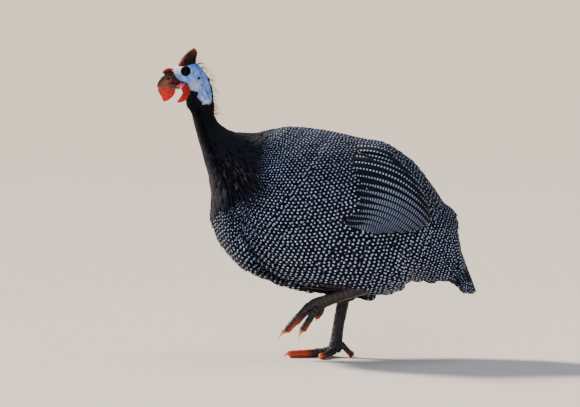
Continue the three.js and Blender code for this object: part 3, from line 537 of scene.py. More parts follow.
def spotted_finish(name, ground, spot, roughness):
    """Barbs of a contour feather: matt keratin with a soft sheen, round pale spots where the pattern has
    them, and the fine comb of barbs, drawn wider apart than life so that it shows."""
    material, tree, shader = new_material(name, roughness, **{
        "Specular IOR Level": 0.14, "Sheen Weight": 0.02, "Sheen Roughness": 0.4})
    flat_map = add_node(tree, "ShaderNodeUVMap", {"uv_map": "vane"})
    cells = add_node(tree, "ShaderNodeAttribute", {"attribute_name": "Cells"})
    pitch = add_node(tree, "ShaderNodeAttribute", {"attribute_name": "Pitch"})
    tint = add_node(tree, "ShaderNodeAttribute", {"attribute_name": "Paint"})
    counted = vector_node(tree, "MULTIPLY", flat_map.outputs["UV"], cells.outputs["Vector"])
    centred = staggered_cell(tree, counted.outputs[0])
    sized = vector_node(tree, "MULTIPLY", centred.outputs[0], pitch.outputs["Vector"])
    level = vector_node(tree, "MULTIPLY", sized.outputs[0], (1.0, 1.0, 0.0))
    away = vector_node(tree, "LENGTH", level.outputs[0])
    split = add_node(tree, "ShaderNodeSeparateXYZ", links={0: pitch.outputs["Vector"]})
    rim = math_node(tree, "MULTIPLY", split.outputs["Z"], 1.12)
    core = math_node(tree, "MULTIPLY", split.outputs["Z"], 0.84)
    spots = add_node(tree, "ShaderNodeMapRange", {"interpolation_type": "SMOOTHSTEP"}, {
        "Value": away.outputs["Value"], "From Min": core.outputs[0], "From Max": rim.outputs[0],
        "To Min": 1.0, "To Max": 0.0})
    shown = math_node(tree, "MULTIPLY", spots.outputs["Result"], tint.outputs["Alpha"])
    ground_tone = add_node(tree, "ShaderNodeMix", {"data_type": "RGBA", "blend_type": "MULTIPLY"}, {
        "Factor": 1.0, "A": (*linear(ground), 1), "B": tint.outputs["Color"]})
    colour = add_node(tree, "ShaderNodeMix", {"data_type": "RGBA"}, {
        "Factor": shown.outputs[0], "A": ground_tone.outputs["Result"], "B": (*linear(spot), 1)})
    tree.links.new(colour.outputs["Result"], shader.inputs["Base Color"])
    where = add_node(tree, "ShaderNodeTexCoord")
    barbs = add_node(tree, "ShaderNodeTexNoise", links={
        "Vector": where.outputs["Object"], "Scale": 1 / (BARB_SIZE * MM), "Detail": 2.0})
    bump(tree, shader, barbs.outputs["Fac"], 0.3, 0.2)
    return material


feather_finish = spotted_finish("Contour feather barbs", "#06080F", SKY_SHADED_SPOT_WHITE, 0.68)
vane = unit_vane("unit_vane", feather_finish)
lay_feathers = lay_feathers_tree(vane)
socket_of = {
    item.name: item.identifier for item in lay_feathers.interface.items_tree if item.in_out == "INPUT"}

# Plain brownish down between the belly and the thighs, in the side view
THIGH_FLUFF = [[-32, 112], [-8, 116], [30, 108], [52, 100], [52, 70], [-32, 70]]
# Where the flight feathers lie bare of coverts, in the side view
QUILL_FIELD = [
    [88, 309], [96, 307], [121, 290.7], [150, 261.7], [167.5, 229.8], [174.7, 208], [170, 194],
    [150, 190], [121, 190], [98, 194], [80, 203], [66, 222.6], [58, 250], [68, 280],
]
ROOT_DEPTH = 2.7  # of the largest feathers' roots under the outline
TIP_STAND = 2.9  # how much higher their tips lie than their roots
FULL_PITCH = 4.5  # the spot pitch at which a feather has its full depth
SPOT_SHARE = 0.23  # a spot's radius as a share of the pitch
# How many times lighter than the black ground each tract is, in red, green and blue; on the back and the
# neck's front it is painted sunlight
COLLAR_TONE = np.array([2.4, 1.6, 1.8])
SUNLIT_BACK_TONE = np.array([9.0, 7.4, 5.4])
SUNLIT_NECK_FRONT_TONE = np.array([14.0, 9.0, 5.6])
BELLY_TONE = np.array([2.6, 1.4, 0.5])


def coat_piece(
        name, roots, seed, ruffle, length_share=2.4, width_share=1.35, stray=0.0):
    """One piece of coat: a feather at every root, made real and unwrapped at its root's place."""
    rng = np.random.default_rng(seed)
    u, angle, across, along = roots.T
    stray = np.maximum(stray, within(coat_point(u, angle)[:, [0, 2]], COLLAR, 6.0))
    u = u + stray * rng.uniform(-0.12, 0.12, len(u))
    angle = angle + stray * rng.uniform(-1, 1, len(u)) * across / spline(STATIONS, u)[:, 4]
    scale = np.clip(across / FULL_PITCH, 0.3, 1.3)
    length = 2 * along * length_share * rng.uniform(0.96, 1.04, len(u))
    ahead = coat_point(u + 0.12, angle)
    way = unit(ahead - coat_point(u, angle))
    tip_view = (coat_point(u, angle) + way * length[:, None] * 0.93)[:, [0, 2]]
    tip_view = tip_view + rng.normal(0, 4.5, (len(u), 2)) * [1, 0]
    keep = within(tip_view, QUILL_FIELD, 1.0) < 0.5
    root_view = coat_point(u, angle)[:, [0, 2]]
    keep |= within(root_view + [10, 0], QUILL_FIELD, 1.0) > 0.5
    u, angle, across, along, scale, length, way, ahead = (
        v[keep] for v in (u, angle, across, along, scale, length, way, ahead))
    count = len(u)
    round_it = coat_point(u, angle + 0.02) - coat_point(u, angle - 0.02)
    out = unit(np.cross(round_it, ahead - coat_point(u, angle)))
    base = coat_point(u, angle, -ROOT_DEPTH * scale)
    width = 2 * across * width_share * rng.uniform(0.97, 1.03, count)
    lie = unit(way + out * (TIP_STAND * scale / length)[:, None])
    view = turn_head(straight_skin(u, angle), u)[:, [0, 2]]
    plain = np.maximum(within(view, COLLAR, 11.0), within(view, THIGH_FLUFF, 5.0))
    drop = (1 - np.cos(angle)) / 2
    tone = rng.uniform(0.85, 1.15, count)[:, None] * np.ones(3)
    tone = tone * (1 + (plain * ease(6, 9, u))[:, None] * COLLAR_TONE)
    # Painted sunlight: the top of the back is lightened to beige.
    sunlit_back = ease(0.15, 0.03, drop) * ease(9.2, 10.8, u) * (1 - ease(12.0, 13.2, u))
    tone = tone + sunlit_back[:, None] * SUNLIT_BACK_TONE
    # Painted sunlight: tan streaks on the front of the neck.
    front = ease(0.80, 0.96, drop) * ease(5, 6, u) * (1 - ease(9.6, 10.6, u)) * (rng.random(count) < 0.6)
    tone = tone + front[:, None] * SUNLIT_NECK_FRONT_TONE
    browner = ease(0.86, 0.97, drop) * ease(11, 13, u) * (1 - ease(19, 20, u))
    tone = tone * (1 + browner[:, None] * BELLY_TONE)
    spot_size = SPOT_SHARE * (across + along) / 2 * rng.uniform(0.9, 1.08, count) * (1 - 0.3 * plain)
    dimmer = 0.62 + 0.38 * ease(0.10, 0.36, drop)
    dimmer = dimmer * (1 - 0.3 * ease(0.84, 0.97, drop) * (1 - ease(13, 15, u)))
    alpha = (1 - plain) * ease(8.2, 9.0, u) * rng.uniform(0.85, 1.0, count) * dimmer
    points = bpy.data.meshes.new(name + "_roots")
    points.from_pydata((base * MM).tolist(), [], [])
    layers = {
        "Out": out, "Lie": lie, "Size": np.stack([width, length, 0.5 * (width + length)], 1) * MM,
        "Cells": np.stack([width / across, length / along, 0 * u], 1),
        "Pitch": np.stack([across, along, spot_size], 1),
    }
    for key, values in layers.items():
        layer = points.attributes.new(key, "FLOAT_VECTOR", "POINT")
        layer.data.foreach_set("vector", values.astype(np.float32).ravel())
    layer = points.attributes.new("Paint", "FLOAT_COLOR", "POINT")
    layer.data.foreach_set("color", np.concatenate([tone, alpha[:, None]], 1).astype(np.float32).ravel())
    holder = bpy.data.objects.new(name + "_roots", points)
    bpy.context.scene.collection.objects.link(holder)
    modifier = holder.modifiers.new("Lay", "NODES")
    modifier.node_group = lay_feathers
    modifier[socket_of["Ruffle"]] = ruffle
    modifier[socket_of["Seed"]] = seed
    modifier[socket_of["Finish"]] = feather_finish
    graph = bpy.context.evaluated_depsgraph_get()
    seen = holder.evaluated_get(graph)
    made = bpy.data.meshes.new_from_object(seen, preserve_all_data_layers=True, depsgraph=graph)
    made.name = name
    holder.modifiers.remove(modifier)
    bpy.data.objects.remove(holder)
    piece = bpy.data.objects.new(name, made)
    bpy.context.scene.collection.objects.link(piece)
    unit_places = np.array([
        (x, 1 - t)
        for t, half_width in zip(VANE_ROWS, VANE_HALF)
        for x in (-half_width, 0, half_width, half_width, 0, -half_width)])
    spread = (unit_places - [0, 0.5]) * PATCH
    map_points(piece, "OFBake", (unwrap(u, angle)[:, None, :] + spread[None, :, :]).reshape(-1, 2))
    for key in ("Out", "Lie", "Size"):
        if key in made.attributes:
            made.attributes.remove(made.attributes[key])
    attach(piece, ROOT)


def everywhere(u, angle):
    return np.ones(len(angle), bool)


def throat_only(u, angle):
    view = straight_skin(np.full_like(angle, u), angle)[:, [0, 2]]
    bare = within(view, BLUE_SKIN, 1.0) > 0.4
    beside = np.abs(angle) > 1.9
    nape_strip = (np.abs(angle) < 0.22) & (u > 3.2)
    return (~bare & beside & (view[:, 1] < 391)) | nape_strip if u < 4.75 else ~bare


coat_piece("neck_coat", feather_rows(3.2, 8.4, throat_only, 1.5), 11, 0.06, 3.4, 1.35, 0.7)
coat_piece("breast_coat", feather_rows(8.4, 12.6, everywhere), 12, 0.025)
coat_piece("body_coat", feather_rows(12.6, 16.6, everywhere), 13, 0.025)
coat_piece("rump_coat", feather_rows(16.6, 22.3, everywhere), 14, 0.03)
bpy.data.objects.remove(vane)

# Long feathers: stiff quills of dark keratin with a shaft and two close vanes. Each is laid over the coat
# on its own path, leans on its neighbour, and has white bars or a row of white spots on each vane.

FLIGHT_STEPS = 14
FLIGHT_ACROSS = 6


def side_at(x, z):
    """The station and angle of the place on the left side that shows at x, z in the side view."""
    low, high = 4.5, float(LAST)
    for _ in range(30):
        mid = (low + high) / 2
        bx, bz, ux, uz, _w = spline(STATIONS, mid)
        if (ux - bx) * (z - bz) - (uz - bz) * (x - bx) > 0:
            low = mid
        else:
            high = mid
    bx, bz, ux, uz, _w = spline(STATIONS, low)
    f = ((x - bx) * (ux - bx) + (z - bz) * (uz - bz)) / ((ux - bx)**2 + (uz - bz)**2)
    f = min(max(f, 0.001), 0.999)
    root = 1 + SECTION_SAG
    drop = (root - math.sqrt(root * root - 4 * SECTION_SAG * f)) / (2 * SECTION_SAG)
    return low, math.acos(1 - 2 * drop)


def barred_finish(name):
    """Flight-feather keratin: grey-black, a little glossier than the coat. The piece says for each feather
    how far apart its marks are, how far from the shaft, and how far they reach to each side of that."""
    material, tree, shader = new_material(name, 0.62, **{"Specular IOR Level": 0.16, "Sheen Weight": 0.02})
    flat_map = add_node(tree, "ShaderNodeUVMap", {"uv_map": "vane"})
    tint = add_node(tree, "ShaderNodeAttribute", {"attribute_name": "Paint"})
    shape = add_node(tree, "ShaderNodeAttribute", {"attribute_name": "Marks"})
    place = add_node(tree, "ShaderNodeSeparateXYZ", links={0: flat_map.outputs["UV"]})
    marks = add_node(tree, "ShaderNodeSeparateXYZ", links={0: shape.outputs["Vector"]})
    turns = math_node(tree, "DIVIDE", place.outputs["Y"], marks.outputs["X"])
    cell = math_node(tree, "FRACT", turns.outputs[0])
    off = math_node(tree, "SUBTRACT", cell.outputs[0], 0.5)
    along = math_node(tree, "MULTIPLY", off.outputs[0], marks.outputs["X"])
    from_shaft = math_node(tree, "ABSOLUTE", place.outputs["X"])
    from_row = math_node(tree, "SUBTRACT", from_shaft.outputs[0], marks.outputs["Y"])
    row_off = math_node(tree, "ABSOLUTE", from_row.outputs[0])
    past = math_node(tree, "SUBTRACT", row_off.outputs[0], marks.outputs["Z"])
    past_end = math_node(tree, "MAXIMUM", past.outputs[0], 0.0)
    flat_off = add_node(tree, "ShaderNodeCombineXYZ", links={
        "X": along.outputs[0], "Y": past_end.outputs[0]})
    away = vector_node(tree, "LENGTH", flat_off.outputs[0])
    outer = math_node(tree, "MULTIPLY", marks.outputs["X"], 0.33)
    inner = math_node(tree, "MULTIPLY", marks.outputs["X"], 0.19)
    shown = add_node(tree, "ShaderNodeMapRange", {"interpolation_type": "SMOOTHSTEP"}, {
        "Value": away.outputs["Value"], "From Min": inner.outputs[0], "From Max": outer.outputs[0],
        "To Min": 1.0, "To Max": 0.0})
    strength = math_node(tree, "MULTIPLY", shown.outputs["Result"], tint.outputs["Alpha"])
    colour = add_node(tree, "ShaderNodeMix", {"data_type": "RGBA"}, {
        "Factor": strength.outputs[0], "A": tint.outputs["Color"], "B": (*linear(SKY_SHADED_SPOT_WHITE), 1)})
    tree.links.new(colour.outputs["Result"], shader.inputs["Base Color"])
    barb_lines = add_node(tree, "ShaderNodeTexWave", {"bands_direction": "Y"}, {
        "Vector": flat_map.outputs["UV"], "Scale": 0.35, "Distortion": 0.6, "Detail": 1.0})
    bump(tree, shader, barb_lines.outputs["Fac"], 0.25, 0.12)
    return material


flight_finish = barred_finish("Flight feather vane")


def long_feather(route, width, lift, lean, mirror, marks, tone, strength, thick=0.55, blunt=0.30):
    """Points, faces and layers of one quill. Route gives station and angle for shares from root to tip,
    lift the height over the skin at root, middle and tip, and lean the vanes' slope at root and tip."""
    t = np.linspace(0, 1, FLIGHT_STEPS + 1)
    stations = np.array([route(v) for v in t])
    u, angle = stations[:, 0], stations[:, 1] * mirror
    height = (1 - t)**2 * lift[0] + 2 * t * (1 - t) * lift[1] + t**2 * lift[2]
    skin_out = skin_normal(u, angle)
    spine = straight_skin(u, angle) + skin_out * height[:, None]
    along = unit(np.gradient(spine, axis=0))
    across = unit(np.cross(along, skin_out))
    up = np.cross(across, along)
    grown = 0.3 + 0.7 * np.sin(np.pi * np.minimum(0.5, t * 2.2))
    rounded = np.sqrt(np.maximum(0.012, 1 - (np.maximum(0, t - (1 - blunt)) / blunt)**2))
    half = width / 2 * grown * rounded
    points, places = [], []
    run = np.concatenate([[0], np.cumsum(np.linalg.norm(np.diff(spine, axis=0), axis=1))])
    for k in range(len(t)):
        for face in (1, -1):
            order = np.linspace(-1, 1, FLIGHT_ACROSS + 1)[::face]
            for a in order:
                shaft = 0.35 * math.exp(-(a * half[k] / 0.7)**2) if face > 0 else 0
                deep = face * thick / 2 * (1 - 0.6 * a * a) * (1 - 0.5 * t[k])
                curl = -0.09 * half[k] * a * a
                side = a * half[k] * mirror
                slope = side * lean[0] * (1 - t[k]) + side * lean[1] * t[k]
                height_here = deep + shaft + curl + slope
                points.append(spine[k] + across[k] * a * half[k] + up[k] * height_here)
                places.append((side, run[-1] - run[k]))
    ring = 2 * (FLIGHT_ACROSS + 1)
    faces = []
    for k in range(len(t) - 1):
        for i in range(ring):
            a, b = k * ring + i, k * ring + (i + 1) % ring
            faces.append((a, b, b + ring, a + ring))
    end = (len(t) - 1) * ring
    faces += [tuple(reversed(range(ring))), tuple(range(end, end + ring))]
    count = len(points)
    patch = unwrap(u[0], angle[0]) + np.array(places) / max(run[-1], 1) * PATCH
    shares = np.repeat(t, ring)
    paints = np.tile(np.append(tone, strength), (count, 1))
    paints[:, 3] *= 1.25 - 0.45 * ease(0.3, 0.75, shares)
    bars = np.tile(marks, (count, 1))
    bars[:, 2] *= ease(0.15, 0.5, shares)
    return {
        "points": np.array(points), "faces": faces, "vane": np.array(places), "bake": patch,
        "paint": paints, "marks": bars,
    }


def quill_piece(name, feathers, replaced=None):
    """Joins feathers in one piece, with their maps and paints."""
    points, faces, start = [], [], 0
    for one in feathers:
        points.append(one["points"])
        faces += [tuple(i + start for i in f) for f in one["faces"]]
        start += len(one["points"])
    piece = new_mesh(name, np.vstack(points), faces, [flight_finish])
    map_points(piece, "vane", np.vstack([one["vane"] for one in feathers]))
    map_points(piece, "OFBake", np.vstack([one["bake"] for one in feathers]))
    paints = np.vstack([one["paint"] for one in feathers])
    layer = piece.data.attributes.new("Paint", "FLOAT_COLOR", "POINT")
    layer.data.foreach_set("color", paints.astype(np.float32).ravel())
    marks = np.vstack([one["marks"] for one in feathers])
    layer = piece.data.attributes.new("Marks", "FLOAT_VECTOR", "POINT")
    layer.data.foreach_set("vector", marks.astype(np.float32).ravel())
    tidy_faces(piece)
    if replaced:
        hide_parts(replaced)
    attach(piece, ROOT)


def tidy_faces(piece):
    """Turns every face outwards."""
    bpy.context.view_layer.objects.active = piece
    piece.select_set(True)
    bpy.ops.object.mode_set(mode="EDIT")
    bpy.ops.mesh.select_all(action="SELECT")
    bpy.ops.mesh.normals_make_consistent(inside=False)
    bpy.ops.object.mode_set(mode="OBJECT")
    piece.select_set(False)


# Wings: the flight feathers lie in nested arcs that close towards the wing's tip behind the coverts.
# The upper ones carry rows of small spots, the lowest ones close bars. Places are in the side view.
QUILL_COUNT = 14
QUILL_ROOTS = [[38, 309], [36, 292], [34, 262], [32, 232], [40, 206]]
QUILL_TIPS = [[114, 288], [142, 258], [157, 226], [161, 204], [151, 193], [128, 190], [96, 192]]
QUILL_WIDTH = 19
QUILL_LIFT = [1.5, 11.5, 4.6]  # over the skin: at the root, in the middle and at the tip
ROOT_SINK = 7.0  # how much deeper the uppermost quill's root lies
QUILL_LEAN = (0.10, 0.08)
ROW_FROM_SHAFT = 5.6
# From the uppermost quill, 0, to the lowest, 1
BAR_HALF_LENGTH = [0, 0.3, 0.45, 0.65, 1], [0.1, 0.4, 1.6, 3.6, 4.4]
MARK_PITCH = [0, 0.3, 0.5, 1], [4.8, 4.7, 3.7, 3.5]
MARK_STRENGTH = [0, 0.3, 0.55, 1], [0.85, 0.75, 0.38, 0.24]


def wing_quills(side):
    made = []
    rng = np.random.default_rng(21)
    for i in range(QUILL_COUNT):
        share = i / (QUILL_COUNT - 1)
        root = spline(QUILL_ROOTS, share * (len(QUILL_ROOTS) - 1))
        tip = spline(QUILL_TIPS, share * (len(QUILL_TIPS) - 1))
        bend = np.array([root[0] + 0.68 * (tip[0] - root[0]), root[1] + 0.08 * (tip[1] - root[1])])

        def route(t, root=root, tip=tip, bend=bend):
            x, z = (1 - t)**2 * root + 2 * t * (1 - t) * bend + t**2 * tip
            return side_at(x, z)

        bar = np.interp(share, *BAR_HALF_LENGTH)
        pitch = np.interp(share, *MARK_PITCH) * rng.uniform(0.96, 1.04)
        marks = (pitch, ROW_FROM_SHAFT, bar)
        tone = linear("#07090F") * rng.uniform(0.8, 1.2)
        strength = np.interp(share, *MARK_STRENGTH)
        lift = [QUILL_LIFT[0] - ROOT_SINK * ease(0.3, 0.0, share), *QUILL_LIFT[1:]]
        made.append(long_feather(route, QUILL_WIDTH, lift, QUILL_LEAN, side, marks, tone, strength))
    return made


for name, side in (("left", 1), ("right", -1)):
    quill_piece("flight_feathers_" + name, wing_quills(side), "wing_" + name)

# Tail: sixteen drooping feathers in a closed fan of the same keratin, with two rows of coverts over them
# and one row under. They are rooted in the rump and fixed as one piece.
TAIL_ROWS = [
    {"count": 16, "from": 19.6, "to": 23.0, "spread": 1.55, "under": False, "width": 17,
     "lift": [-6, -3.0, -0.8]},
    {"count": 13, "from": 19.0, "to": 21.9, "spread": 1.5, "under": False, "width": 15,
     "lift": [-6, -2.2, -0.6]},
    {"count": 11, "from": 18.8, "to": 20.9, "spread": 1.5, "under": False, "width": 15,
     "lift": [-6, -2.6, -1.4]},
    {"count": 9, "from": 19.2, "to": 22.2, "spread": 1.25, "under": True, "width": 15,
     "lift": [-4, -0.6, -0.4]},
]
TAIL_LEAN = 0.2
TAIL_OVERLAP = 1.2


def tail_quills():
    made = []
    rng = np.random.default_rng(31)
    for row in TAIL_ROWS:
        for i in range(row["count"]):
            share = 2 * i / (row["count"] - 1) - 1
            tip = row["to"] - 0.4 * share * share + rng.uniform(-0.05, 0.05)

            def route(t, share=share, tip=tip, row=row):
                middle = math.pi if row["under"] else 0.0
                return row["from"] + (tip - row["from"]) * t, middle + share * row["spread"]

            lean = TAIL_LEAN * np.sign(share) * (1 if row["under"] else -1)
            over = TAIL_OVERLAP * (1 - abs(share))
            tone = linear("#101116") * rng.uniform(0.8, 1.2)
            marks = (3.6 * rng.uniform(0.95, 1.05), 3.4, 0.6)
            lift = [v + over for v in row["lift"]]
            made.append(long_feather(route, row["width"], lift, (lean, lean), 1, marks, tone, 0.55))
    return made


quill_piece("tail_feathers", tail_quills(), "tail")

# Eyes: a ball as dark as its pupil, with a wet clear surface. The lids round it are bare black skin in a
# thick fold. Both are lofted from rings of points, closed at both ends, as the horn and leg pieces are.


def loft(rings):
    """Points and faces of a closed form from rings of equal count."""
    rings = np.asarray(rings)
    rows, sides, _ = rings.shape
    faces = []
    for r in range(rows - 1):
        for c in range(sides):
            a, b = r * sides + c, r * sides + (c + 1) % sides
            faces.append((a, b, b + sides, a + sides))
    first, last = rows * sides, rows * sides + 1
    faces += [(first, (c + 1) % sides, c) for c in range(sides)]
    faces += [(last, (rows - 1) * sides + c, (rows - 1) * sides + (c + 1) % sides) for c in range(sides)]
    return np.vstack([rings.reshape(-1, 3), rings[0].mean(0), rings[-1].mean(0)]), faces


def with_ends(values):
    """A value for each point of a loft, from a value for each ring point."""
    values = np.asarray(values)
    flat_values = values.reshape(-1, *values.shape[2:])
    return np.concatenate([flat_values, values[:1].mean(1), values[-1:].mean(1)])


def join_forms(forms):
    """Several (points, faces, colours) as one."""
    points, faces, tints, start = [], [], [], 0
    for one_points, one_faces, one_tints in forms:
        points.append(one_points)
        faces += [tuple(i + start for i in face) for face in one_faces]
        tints.append(one_tints)
        start += len(one_points)
    return np.vstack(points), faces, np.vstack(tints)


def paint(piece, name, colours):
    """A colour for each point of the piece, under the given name."""
    layer = piece.data.attributes.new(name, "FLOAT_COLOR", "POINT")
    rgba = np.concatenate([colours, np.ones((len(colours), 1))], 1)
    layer.data.foreach_set("color", rgba.astype(np.float32).ravel())


def painted_piece(name, forms, material, replaced=()):
    points, faces, tints = join_forms(forms)
    piece = new_mesh(name, points, faces, [material])
    paint(piece, "Paint", tints)
    tidy_faces(piece)
    if replaced:
        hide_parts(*replaced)
    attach(piece, ROOT)


def in_head(points):
    return turn_head(points, np.zeros(points.shape[:-1]))


def painted_finish(name, roughness, grain, depth, speckle=0.25, **settings):
    """A material that takes its colour from the piece's paint, mottled and bumped at a grain size."""
    material, tree, shader = new_material(name, roughness, **settings)
    where = add_node(tree, "ShaderNodeTexCoord")
    tint = add_node(tree, "ShaderNodeAttribute", {"attribute_name": "Paint"})
    noise = add_node(tree, "ShaderNodeTexNoise", links={
        "Vector": where.outputs["Object"], "Scale": 1 / (grain * MM), "Detail": 4.0})
    tone = add_node(tree, "ShaderNodeMapRange", links={
        "Value": noise.outputs["Fac"], "From Min": 0.3, "From Max": 0.7,
        "To Min": 1 - speckle, "To Max": 1 + speckle})
    colour = add_node(tree, "ShaderNodeMix", {"data_type": "RGBA", "blend_type": "MULTIPLY"}, {
        "Factor": 1.0, "A": tint.outputs["Color"], "B": tone.outputs["Result"]})
    tree.links.new(colour.outputs["Result"], shader.inputs["Base Color"])
    bump(tree, shader, noise.outputs["Fac"], 0.5, depth)
    return material


FLECK_SIZE = 1.2
eye_material, tree, shader = new_material("Wet dark eye", 0.05, "#0A0606", **{
    "Coat Weight": 0.04, "Coat Roughness": 0.03, "Specular IOR Level": 0.08})
where = add_node(tree, "ShaderNodeTexCoord")
fleck = add_node(tree, "ShaderNodeTexNoise", links={
    "Vector": where.outputs["Object"], "Scale": 1 / (FLECK_SIZE * MM)})
brown = add_node(tree, "ShaderNodeMix", {"data_type": "RGBA"}, {
    "Factor": fleck.outputs["Fac"], "A": (*linear("#040303"), 1), "B": (*linear("#140A06"), 1)})
tree.links.new(brown.outputs["Result"], shader.inputs["Base Color"])
lid_material = painted_finish("Black lid skin", 0.75, 1.0, 0.15, **{"Specular IOR Level": 0.15})

EYE_RADIUS = 5.4
LID_OUT = 3.1
LID_RING = 5.5
LID_THICK = 1.35
LID_STEPS = 48
LID_SIDES = 14


def sphere_points(centre, radii, rings=24, sides=40):
    slices = np.linspace(0.04, math.pi - 0.04, rings)
    a, b = np.meshgrid(slices, np.arange(sides) * 2 * math.pi / sides, indexing="ij")
    ball = np.stack([np.cos(b) * np.sin(a), np.cos(a), np.sin(b) * np.sin(a)], -1)
    return loft(ball * np.asarray(radii, float) + centre)


for name, side in (("left", -1), ("right", 1)):
    points, faces = sphere_points(EYE * [1, side, 1], [EYE_RADIUS] * 3)
    ball = new_mesh("eyeball_" + name, in_head(points), faces, [eye_material])
    tidy_faces(ball)
    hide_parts("eye_" + name)
    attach(ball, ROOT)
    turn, tube = np.meshgrid(np.linspace(0, 2 * math.pi, LID_STEPS, endpoint=False),
                             np.linspace(0, 2 * math.pi, LID_SIDES, endpoint=False), indexing="ij")
    reach = LID_RING + 0.5 * np.maximum(0, np.sin(turn)) + LID_THICK * np.cos(tube)
    stand = side * (LID_OUT + LID_THICK * np.sin(tube))
    ring = np.stack([np.cos(turn) * reach * 1.04, stand, np.sin(turn) * reach], -1)
    ring += unit(ring) * 0.22 * ripple(ring, 3.0, 5)[..., None]
    ring = (ring + EYE * [1, side, 1]).reshape(-1, 3)
    lid_faces = []
    for r in range(LID_STEPS):
        here, there = r * LID_SIDES, (r + 1) % LID_STEPS * LID_SIDES
        for c in range(LID_SIDES):
            following = (c + 1) % LID_SIDES
            lid_faces.append((here + c, here + following, there + following, there + c))
    painted_piece("lids_" + name, [(in_head(ring), lid_faces, np.tile(linear("#030303"), (len(ring), 1)))],
                  lid_material)

# Casque: a bony peak under dull horn, reddish brown along its front, near black low on its sides and
# mottled grey-brown at the top of its rear. Fine ridges run up it.
casque_horn = painted_finish("Dull casque horn", 0.6, 2.2, 0.35, 0.3, **{"Specular IOR Level": 0.2})
CASQUE_STOPS = [
    [-204, 419, -173, 417, 7.4], [-197.4, 432.1, -174.5, 432, 6.6], [-192.2, 439.4, -173, 440, 5.4],
    [-185.8, 445.6, -173, 445, 4.2], [-181, 449.2, -174.5, 448.4, 2.6],
    [-178.8, 450.4, -176.4, 450.2, 0.9],
]


def ring_grid(steps, sides):
    """The share along and the angle round, for each point of evenly spaced rings."""
    return np.meshgrid(np.linspace(0, 1, steps + 1), np.arange(sides) * 2 * math.pi / sides, indexing="ij")


def slice_rings(stops, steps, sides):
    """Rings through slices of [top x, top z, bottom x, bottom z, half width] in the head's own frame."""
    t, angle = ring_grid(steps, sides)
    at = spline(stops, t * (len(stops) - 1))
    f = (1 - np.cos(angle)) / 2
    x = at[..., 0] + f * (at[..., 2] - at[..., 0])
    z = at[..., 1] + f * (at[..., 3] - at[..., 1])
    rings = np.stack([x, -at[..., 4] * np.sin(angle), z], -1)
    outward = unit(rings - rings.mean(1, keepdims=True))
    return rings, outward, t, angle


rings, outward, t, angle = slice_rings(CASQUE_STOPS, 56, 56)
worn = 0.38 * ripple(rings, 5, 7) + 0.14 * ripple(rings * [2.2, 1, 0.7], 2.4, 8)
rings = rings + outward * worn[..., None]
front = 0.5 + 0.5 * np.cos(angle)
tints = np.tile(linear("#040202"), (*angle.shape, 1))
tints = blend_colour(tints, "#3A2C27", ease(437, 443, rings[..., 2]) * ease(-187, -181, rings[..., 0]))
tints = blend_colour(tints, "#8A200A", ease(0.72, 0.92, front + 0.08 * ripple(rings, 4, 9)))
middle_height = ease(431, 437, rings[..., 2]) * ease(-178, -184, rings[..., 0])
tints = blend_colour(tints, "#3A1009", 0.7 * middle_height)
# The tip's own orange-red, brightened as a painted sunlit highlight.
tints = blend_colour(tints, "#B03A12", ease(445.5, 449, rings[..., 2]))
points, faces = loft(rings)
painted_piece("casque_horn", [(in_head(points), faces, with_ends(tints))], casque_horn,
              ["casque"])

# Bill: horn over bone, dark brown along the ridge and pale at the tip, with an orange gape line and a
# nostril in a low swelling on each side. Each half is lofted from slices and sits in the face's red skin.
bill_horn = painted_finish("Grey bill horn", 0.38, 3.0, 0.12, 0.18, **{"Specular IOR Level": 0.5})
UPPER_BILL_STOPS = [
    [-211, 420, -197, 402, 7.6], [-218.0, 416.0, -206, 401, 7.0], [-224.2, 410.4, -213, 400.2, 5.8],
    [-228.6, 403.9, -219.6, 398.6, 4.2], [-230.9, 397.8, -224.8, 395.6, 2.5],
    [-231.3, 393.4, -229.2, 392.2, 0.9],
]
LOWER_BILL_STOPS = [
    [-196, 402.5, -196, 391.5, 6.2], [-206, 402.2, -205, 391.4, 5.8], [-213, 401.0, -212, 391.4, 4.9],
    [-219.6, 398.8, -218.4, 391.6, 3.6], [-225.6, 395.0, -224.2, 391.6, 2.0],
    [-227.8, 393.4, -227.2, 392.0, 0.8],
]
NOSTRIL = np.array([-214.8, 407.2])
rings, outward, t, angle = slice_rings(UPPER_BILL_STOPS, 56, 48)
nostril_away = np.hypot((rings[..., 0] - NOSTRIL[0]) / 1.5, rings[..., 2] - NOSTRIL[1])
swell = 0.9 * np.exp(-((nostril_away - 2.6) / 1.1)**2) - 2.2 * (1 - ease(1.0, 1.9, nostril_away))
beside = ease(0.3, 0.8, np.abs(np.sin(angle)))
rings = rings + np.stack([0 * t, -np.sign(np.sin(angle)) * swell * beside, 0 * t], -1)
rings = rings + outward * (0.12 * ripple(rings, 4, 12))[..., None]
low = 0.5 - 0.5 * np.cos(angle)
tints = np.tile(linear("#2C1B16"), (*angle.shape, 1))
tints = blend_colour(tints, "#6E3824", ease(0.25, 0.6, low))
tints = blend_colour(tints, "#4E120B", (1 - ease(0.10, 0.46, t)) * 0.95)
tints = blend_colour(tints, "#C98A5A", ease(0.80, 0.93, low) * ease(0.3, 0.5, t))
tints = blend_colour(tints, "#C8A884", ease(0.84, 1.0, t) * 0.8)
tints = blend_colour(tints, "#120A0A", (1 - ease(1.0, 1.8, nostril_away)) * beside)
points, faces = loft(rings)
painted_piece("bill_upper_horn", [(in_head(points), faces, with_ends(tints))], bill_horn,
              ["bill_upper"])
rings, outward, t, angle = slice_rings(LOWER_BILL_STOPS, 48, 40)
rings = rings + outward * (0.15 * ripple(rings, 4, 13))[..., None]
low = 0.5 - 0.5 * np.cos(angle)
tints = np.tile(linear("#9A4426"), (*angle.shape, 1))
tints = blend_colour(tints, "#D2743C", 1 - ease(0.1, 0.22, low))
tints = blend_colour(tints, "#7A2614", ease(0.45, 0.9, low))
tints = blend_colour(tints, "#4E120B", 1 - ease(0.3, 0.62, t))
points, faces = loft(rings)
painted_piece("bill_lower_horn", [(in_head(points), faces, with_ends(tints))], bill_horn,
              ["bill_lower"])

